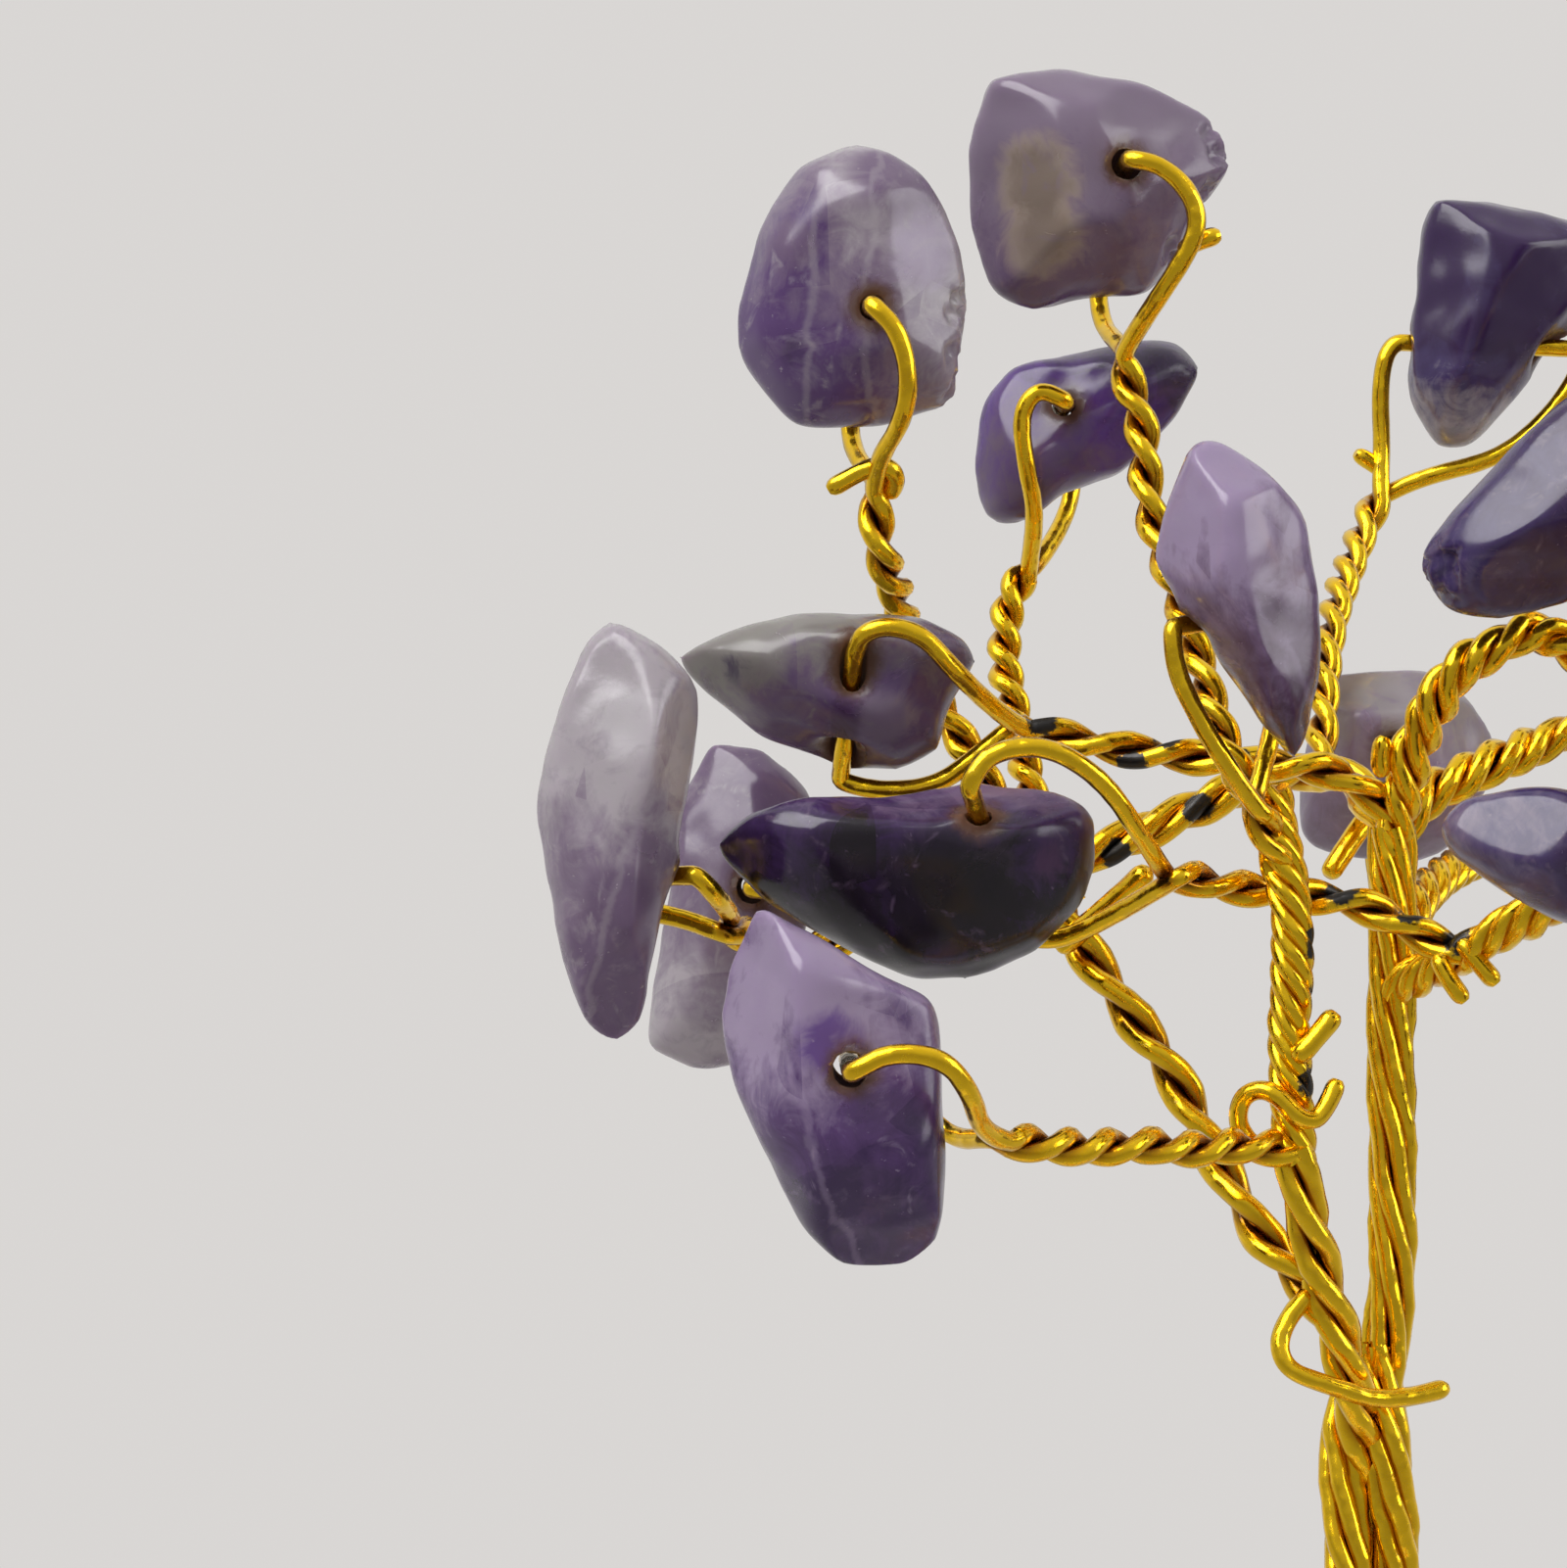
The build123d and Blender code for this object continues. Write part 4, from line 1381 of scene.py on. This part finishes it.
def hung(name: str, middle: tuple[float, float], depth_share: float, thickness_share: float,
         crotch: Place, twig: list[Place], turn: float, finish: VioletQuartz) -> HungStone:
    """Hang a stone in a plain loop: drilled near its middle, with both legs alike.

    Args:
        name: The stone's letter.
        middle: The column and row of its middle.
        depth_share: How far behind the trunk it hangs.
        thickness_share: Its thickness, as a share of the usual one.
        crotch: Where its two legs meet.
        twig: The rest of its twisted pair's route.
        turn: How far it is turned about the upright, in degrees.
        finish: Its quartz.

    Returns:
        The stone.
    """
    column, row = middle
    front, back = (
        [
            (column + on * (crotch[0] - column), row + on * (crotch[1] - row), side * out)
            for on, out in LEG_SHARES
        ]
        for side in (-1, 1)
    )
    mouths = ((column, row, -1), (column, row, 1))
    return HungStone(
        name, depth_share, thickness_share, mouths, front, back, crotch, twig, finish, middle=middle,
        turn=turn,
    )


def unseen_stones() -> list[HungStone]:
    """List the stones of the crown that the view leaves out.

    Returns:
        Eleven stones.
    """
    usual = VioletQuartz(PALE_LILAC, MAUVE, VIOLET, (0.3, 0.2, -1))
    dark = VioletQuartz(MAUVE, BLUE_VIOLET, DEEP_VIOLET, (1, 0.3, -0.2))
    grey = VioletQuartz(CLEAR_GREY, LILAC_GREY, VIOLET, (-0.4, 0.3, -1))
    return [
        hung("n", (1860, 285), -0.1, 1.1, (1856, 465, 0), [(1850, 500, -0.1), (1829, 565, -0.102)],
             25, usual),
        hung("o", (2100, 520), 0.0, 1.1, (2060, 742, 0),
             [(2028, 760, 0.01), (1985, 712, 0.04), (1920, 670, 0.085)], 60, dark),
        hung("p", (1830, 780), -0.44, 1.1, (1765, 920, 0),
             [(1755, 950, -0.38), (1752, 948, -0.28), (1765, 921, -0.178)], -20, grey),
        hung("q", (2090, 850), -0.14, 1.1, (1925, 925, 0), [(1895, 938, -0.15), (1840, 910, -0.171)],
             30, usual),
        hung("r", (1880, 1130), -0.36, 1.0, (1720, 1040, 0),
             [(1680, 1005, -0.3), (1655, 960, -0.22), (1640, 911, -0.16)], -35, usual),
        hung("s", (2090, 1125), 0.1, 1.0, (2050, 980, 0),
             [(2030, 950, 0.08), (1965, 932, 0.02), (1890, 955, -0.06), (1800, 922, -0.18)], 30, dark),
        hung("t", (1880, 850), 0.56, 1.1, (1780, 1016, 0), [(1752, 960, 0.52), (1715, 920, 0.438)],
             -30, grey),
        hung("u", (2040, 430), 0.44, 1.1, (2026, 645, 0),
             [(2026, 684, 0.42), (2010, 722, 0.34), (1950, 716, 0.2), (1890, 692, 0.09)], 20, grey),
        hung("v", (1830, 1150), 0.4, 1.15, (1756, 930, 0), [(1715, 894, 0.36), (1655, 888, 0.418)],
             35, usual),
        hung("w", (1800, 170), 0.16, 1.1, (1798, 345, 0),
             [(1792, 390, 0.1), (1778, 480, 0.02), (1782, 560, -0.05), (1792, 655, -0.11)], -15, dark),
        hung("x", (1838, 560), 0.3, 1.1, (1812, 692, 0),
             [(1806, 724, 0.24), (1790, 742, 0.15), (1755, 724, 0.085)], 15, usual),
    ]


def ropes() -> list[Rope]:
    """The upper trunk and the limbs."""
    return [
        Rope("upper_trunk", [([
            (1397, 1500, 0.0), (1403, 1430, 0.0), (1420, 1350, 0.0), (1423, 1200, 0.0),
            (1419, 1060, 0.0), (1424, 950, 0.0), (1421, 845, 0.0),
        ], Lay(6, 1.3 * MILLIMETRE, 12 * MILLIMETRE, looseness=0.08))]),
        Rope("front_limb", [
            ([
                (1323, 1185, -0.12), (1314, 1060, -0.12), (1323, 950, -0.125), (1307, 862, -0.12),
                (1296, 806, -0.12),
            ], Lay(5, LIMB_DIAMETER, 3.3 * MILLIMETRE, looseness=0.08)),
            ([
                (1397, 1505, 0.0), (1390, 1462, -0.03), (1374, 1385, -0.075), (1345, 1290, -0.1),
                (1325, 1195, -0.12), (1323, 1170, -0.12),
            ], Lay(3, LIMB_DIAMETER * 1.06, 5.6 * MILLIMETRE, looseness=0.10)),
        ]),
        Rope("low_left_limb", [([
            (1356, 1338, -0.085), (1312, 1292, -0.075), (1268, 1232, -0.05), (1230, 1160, -0.02),
            (1198, 1095, -0.01), (1150, 1030, 0.005), (1102, 962, 0.025), (1062, 885, 0.045),
            (1030, 822, 0.062),
        ], Lay(2, LIMB_DIAMETER, 4.2 * MILLIMETRE, looseness=0.07))]),
        Rope("rear_left_limb", [([
            (1420, 862, 0.01), (1400, 806, 0.06), (1345, 783, 0.12), (1275, 800, 0.15),
            (1200, 835, 0.15), (1122, 868, 0.14), (1030, 902, 0.125), (905, 936, 0.1),
        ], Lay(3, LIMB_DIAMETER, 4.6 * MILLIMETRE, looseness=0.10))]),
        Rope("upper_right_limb", [([
            (1421, 868, 0.0), (1432, 800, -0.015), (1447, 753, -0.035), (1466, 715, -0.055),
            (1493, 682, -0.075), (1530, 658, -0.08), (1568, 643, -0.07), (1604, 657, -0.08),
            (1648, 712, -0.11), (1735, 714, -0.12), (1804, 642, -0.11), (1834, 545, -0.1),
        ], Lay(3, LIMB_DIAMETER, 2.7 * MILLIMETRE, looseness=0.12, lumps=0.6))]),
        Rope("right_limb", [([
            (1424, 850, 0.01), (1452, 814, 0.03), (1491, 792, 0.045), (1530, 775, 0.06),
            (1570, 762, 0.075), (1605, 742, 0.08), (1700, 728, 0.08), (1800, 722, 0.09),
            (1890, 690, 0.09), (1960, 640, 0.07),
        ], Lay(3, LIMB_DIAMETER, 2.9 * MILLIMETRE, looseness=0.12, lumps=0.45))]),
        Rope("low_right_limb", [([
            (1421, 1010, 0.0), (1452, 996, -0.03), (1492, 974, -0.075), (1540, 946, -0.11),
            (1592, 918, -0.15), (1680, 905, -0.17), (1780, 925, -0.18), (1860, 905, -0.17),
        ], Lay(4, LIMB_DIAMETER, 3.0 * MILLIMETRE, looseness=0.10, lumps=0.35))]),
        Rope("rear_right_limb", [([
            (1423, 962, 0.01), (1446, 922, 0.08), (1476, 888, 0.17), (1545, 862, 0.3),
            (1620, 870, 0.4), (1700, 915, 0.44), (1760, 960, 0.42),
        ], Lay(4, LIMB_DIAMETER, 3.6 * MILLIMETRE, looseness=0.08))]),
    ]


@dataclass
class Trunk:
    """The full bundle of wires, from its foot over the slab, drawn in at its top."""

    diameter: float = 2.75 * MILLIMETRE
    taper: float = 2.6 * MILLIMETRE
    column: float = 1400
    top_row: float = 1475
    foot_height: float = 10.875 * MILLIMETRE
    steps: tuple[tuple[float, float], ...] = (
        (1400, 0.0), (1401, 0.22), (1392, 0.5), (1397, 0.78), (1400, 1.0),
    )
    bundles: int = 3
    strands: int = 5
    pitch: float = 26 * MILLIMETRE
    strand_pitch: float = 11 * MILLIMETRE

    def build(self, gold: GoldWork) -> None:
        """Make the trunk's strands, which close in at the top.

        Args:
            gold: What makes gold wire.
        """
        top = eye.seen_at(self.column, self.top_row)
        rise = top.z - self.foot_height
        places = [
            Vector((eye.seen_at(column, self.top_row).x, 0, self.foot_height + share * rise))
            for column, share in self.steps
        ]
        places.append(top + (top - places[-2]).normalized() * self.taper)
        line = MiddleLine.laid(places)
        whole = Lay(self.bundles, self.diameter, self.pitch, looseness=0.05)
        part = Lay(self.strands, whole.wire_radius * 2, self.strand_pitch, looseness=0.08)
        start = line.length - self.taper
        lines = []
        strands = []
        for number, bundle in enumerate(whole.twist(line, seed=2.9)):
            for step, along in enumerate(line.along):
                share = max(0.0, (along - start) / self.taper)
                ease = share * share * (3 - 2 * share)
                bundle.points[step] = bundle.points[step].lerp(line.points[step], ease)
            lines.append(MiddleLine(bundle.points))
            strands += part.twist(lines[-1], seed=number * 3.3)
        gold.make("trunk_strands", strands, lines, whole.wire_radius, ["trunk"])


@dataclass
class Roots:
    """The trunk's wires parted in bundles that lie on the slab."""

    slab_height: float = 8.0 * MILLIMETRE
    diameter: float = 1.15 * MILLIMETRE
    reach: float = 11.5 * MILLIMETRE
    strands: int = 4
    pitch: float = 4.2 * MILLIMETRE
    roots: tuple[Place, ...] = (
        (0.03, 1.0, 0.10), (0.19, 0.86, -0.12), (0.36, 0.95, 0.14), (0.53, 1.0, -0.08),
        (0.69, 0.88, 0.12), (0.86, 0.92, -0.14),
    )
    steps: tuple[tuple[float, float], ...] = (
        (0.05, 3.6), (0.12, 2.6), (0.3, 0.75), (0.62, 0.5), (1.0, 0.5),
    )

    def build(self, gold: GoldWork) -> None:
        """Make every root's strands as one piece.

        Args:
            gold: What makes gold wire.
        """
        strands = []
        lines = []
        for number, (turn_share, length_share, bend) in enumerate(self.roots):
            places = []
            for step, (out_share, rise_share) in enumerate(self.steps):
                out = out_share * length_share * self.reach
                angle = math.tau * (turn_share + bend * out_share**2 * (-1) ** step / 4)
                height = self.slab_height + rise_share * self.diameter
                places.append(Vector((out * math.cos(angle), out * math.sin(angle), height)))
            line = MiddleLine.laid(places)
            lines.append(line)
            strands += Lay(self.strands, self.diameter, self.pitch).twist(line, seed=number * 5.1)
        gold.make("roots_strands", strands, lines, self.diameter / 2, ["roots"])


@dataclass
class LooseEnd:
    """A stretch of wire that shows outside a twist: a cut end, a hook or a wrap."""

    places: list[Place]
    width: float = WIRE_DIAMETER
    worn_ends: tuple[float, ...] = (0.55, 0.85, 0.96)

    def strand(self) -> Strand:
        """Make the wire along its places.

        Returns:
            The wire.
        """
        line = MiddleLine.laid(eye.route(self.places))
        radii = [self.width / 2 * worn_share(point, 0.1, 1.1) for point in line.points]
        for number, share in enumerate(self.worn_ends):
            radii[number] *= share
            radii[-1 - number] *= share
        return Strand(line.points, radii)


@dataclass
class Trimmings:
    """The cut ends, hooks and wraps that stand out of the twists."""

    ends: list[LooseEnd] = field(default_factory=lambda: [
        LooseEnd([
            (846, 500, -0.060), (866, 488, -0.064), (890, 476, -0.067), (908, 476, -0.066),
            (917, 490, -0.056), (908, 506, -0.040),
        ]),
        LooseEnd([(1205, 256, 0.0), (1222, 245, -0.01), (1246, 239, -0.01)]),
        LooseEnd([
            (1330, 1178, -0.12), (1286, 1176, -0.125), (1262, 1150, -0.13), (1268, 1116, -0.135),
            (1298, 1110, -0.15), (1330, 1146, -0.155), (1352, 1140, -0.145), (1366, 1102, -0.14),
        ]),
        LooseEnd([(1322, 1082, -0.14), (1344, 1060, -0.145), (1364, 1034, -0.14)], 0.58 * MILLIMETRE),
        LooseEnd([
            (1338, 1318, -0.09), (1306, 1352, -0.10), (1308, 1396, -0.115), (1356, 1414, -0.115),
            (1420, 1434, -0.09), (1478, 1416, -0.07),
        ]),
        LooseEnd([(1414, 482, 0.48), (1398, 470, 0.48), (1384, 462, 0.475)]),
        LooseEnd([(1466, 975, -0.09), (1478, 1000, -0.10), (1496, 1022, -0.10)]),
        LooseEnd([(1490, 960, -0.09), (1512, 985, -0.10), (1528, 1004, -0.10)]),
        LooseEnd([(1412, 792, -0.03), (1406, 770, -0.035), (1414, 752, -0.035)]),
        LooseEnd([(1356, 894, 0.1), (1384, 850, 0.12), (1408, 818, 0.13)], 0.6 * MILLIMETRE),
        LooseEnd([(1080, 968, 0.0), (1130, 930, -0.02), (1172, 888, -0.06)], 0.62 * MILLIMETRE),
    ])

    def build(self, gold: GoldWork) -> None:
        """Make all of them as one piece."""
        gold.make("cut_ends_and_wraps", [end.strand() for end in self.ends], [], 1.0, [])


@dataclass
class Base:
    """The slab of agate and the glue that holds the trunk's foot on it."""

    grain: float = 0.45 * MILLIMETRE
    rubs: int = 3
    dent_millimetres: float = 2.2
    dents: tuple[tuple[float, float], ...] = ((0.7, 0.16), (0.3, 0.5))

    def slab(self) -> None:
        """Make the slab: the solid with worn edges and broken sides."""
        rough = even_mesh("slab", "slab_rough", self.grain)
        shape = bmesh.new()
        shape.from_mesh(rough)
        rub(shape, self.rubs)
        shape.normal_update()
        for vertex in shape.verts:
            at = vertex.co / MILLIMETRE
            side = 1 - abs(vertex.normal.z)
            dent = sum(share * abs(noise.noise(at * scale)) for share, scale in self.dents)
            vertex.co -= vertex.normal * side * dent * self.dent_millimetres * MILLIMETRE
        polish(shape, rough, BandedAgate().material())
        piece = link("agate_slab", rough)
        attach(piece, "tree")
        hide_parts("slab")
        log.info("agate_slab: %d faces", len(rough.polygons))

    def glue(self) -> None:
        """Dress the glue, whose solid has the right shape."""
        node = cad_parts["glue"]
        node.data.materials.clear()
        node.data.materials.append(ClearGlue().material())
        log.info("glue: dressed")


@dataclass
class Studio:
    """The pale floor and backdrop, and plain soft light."""

    backdrop: Colour = (0.695, 0.675, 0.66, 1)
    floor_colour: Colour = (0.50, 0.485, 0.475, 1)
    room_light: Colour = (1.0, 0.985, 0.96, 1)
    near_floor: float = 0.07
    far_floor: float = 0.12
    floor_radius: float = 3.0
    light_upward: tuple[float, ...] = (-0.6, 0.8, 0.25, 0.80)
    light_behind: tuple[float, ...] = (-0.8, 0.4, 0.72, 1.0)
    floor_behind: tuple[float, ...] = (-0.1, 0.15, 0.45, 1.0)
    aim: Place = (0.0, 0.0, 0.05)
    lamps: tuple[tuple[str, Place, float, float], ...] = (
        ("soft_box", (-0.16, -0.12, 0.28), 0.26, 1.1), ("side_card", (0.28, -0.08, 0.14), 0.20, 0.4),
    )

    def world(self) -> None:
        """Light from all round: bright above and behind, darker towards the viewer, plain to the eye."""
        bpy.context.scene.world = bpy.data.worlds.new("studio")
        graph = Graph(bpy.context.scene.world, "ShaderNodeOutputWorld")
        way = graph.add("ShaderNodeTexCoord").outputs["Generated"]
        split = graph.add("ShaderNodeSeparateXYZ", Vector=way)
        up = graph.spread(split.outputs["Z"], *self.light_upward)
        behind = graph.spread(split.outputs["Y"], *self.light_behind)
        room = graph.add("ShaderNodeBackground", Color=self.room_light,
                         Strength=graph.maths(Sum.MULTIPLY, up, behind))
        plain = graph.add("ShaderNodeBackground", Color=self.backdrop)
        graph.show_mix(graph.seen(), room.outputs[0], plain.outputs[0])

    def lamp(self, name: str, place: Place, size: float, power: float) -> None:
        """Hang a soft lamp that points at the crown.

        Args:
            name: Its name.
            place: Where it hangs.
            size: The side of its square.
            power: Its power in watts.
        """
        data = bpy.data.lights.new(name, "AREA")
        data.shape = "SQUARE"
        data.size = size
        data.energy = power
        lamp = bpy.data.objects.new(name, data)
        lamp.location = place
        lamp.rotation_euler = (Vector(self.aim) - Vector(place)).to_track_quat("-Z", "Y").to_euler()
        bpy.context.scene.collection.objects.link(lamp)

    def floor(self) -> None:
        """Lay the floor, which keeps the shadow near the object and fades into the backdrop."""
        shape = bmesh.new()
        bmesh.ops.create_circle(shape, cap_ends=True, segments=96, radius=self.floor_radius)
        mesh = bpy.data.meshes.new("floor")
        shape.to_mesh(mesh)
        shape.free()
        graph = Graph.of_material("pale_floor")
        place = graph.add("ShaderNodeTexCoord").outputs["Object"]
        far = graph.spread(graph.measure(Measure.LENGTH, place), self.near_floor, self.far_floor)
        split = graph.add("ShaderNodeSeparateXYZ", Vector=place)
        behind = graph.spread(split.outputs["Y"], *self.floor_behind)
        seen = graph.seen()
        plain = graph.add("ShaderNodeEmission", Color=self.backdrop,
                          Strength=graph.maths(Sum.MAXIMUM, behind, seen))
        card = graph.add("ShaderNodeBsdfPrincipled", Roughness=0.8, Base_Color=self.floor_colour)
        glossy = graph.add("ShaderNodeLightPath").outputs["Is Glossy Ray"]
        share = graph.maths(Sum.MAXIMUM, graph.maths(Sum.MULTIPLY, far, seen), glossy)
        graph.show_mix(share, card.outputs["BSDF"], plain.outputs["Emission"])
        mesh.materials.append(graph.owner)
        link("floor", mesh)

    def build(self) -> None:
        """Set the view, the floor and the light."""
        scene = bpy.context.scene
        scene.view_settings.view_transform = "Standard"
        self.world()
        self.floor()
        for lamp in self.lamps:
            self.lamp(*lamp)


def main() -> None:
    """Build the tree, piece by piece."""
    logging.basicConfig(level=logging.INFO, format="%(name)s: %(message)s", stream=sys.stdout)
    eye.stand()
    gold = GoldWork()
    for stone in seen_stones() + unseen_stones():
        stone.wire(gold)
        stone.stone()
    for rope in ropes():
        rope.build(gold)
    Trunk().build(gold)
    Roots().build(gold)
    Trimmings().build(gold)
    base = Base()
    base.slab()
    base.glue()
    Studio().build()


if __name__ == "__main__":
    main()
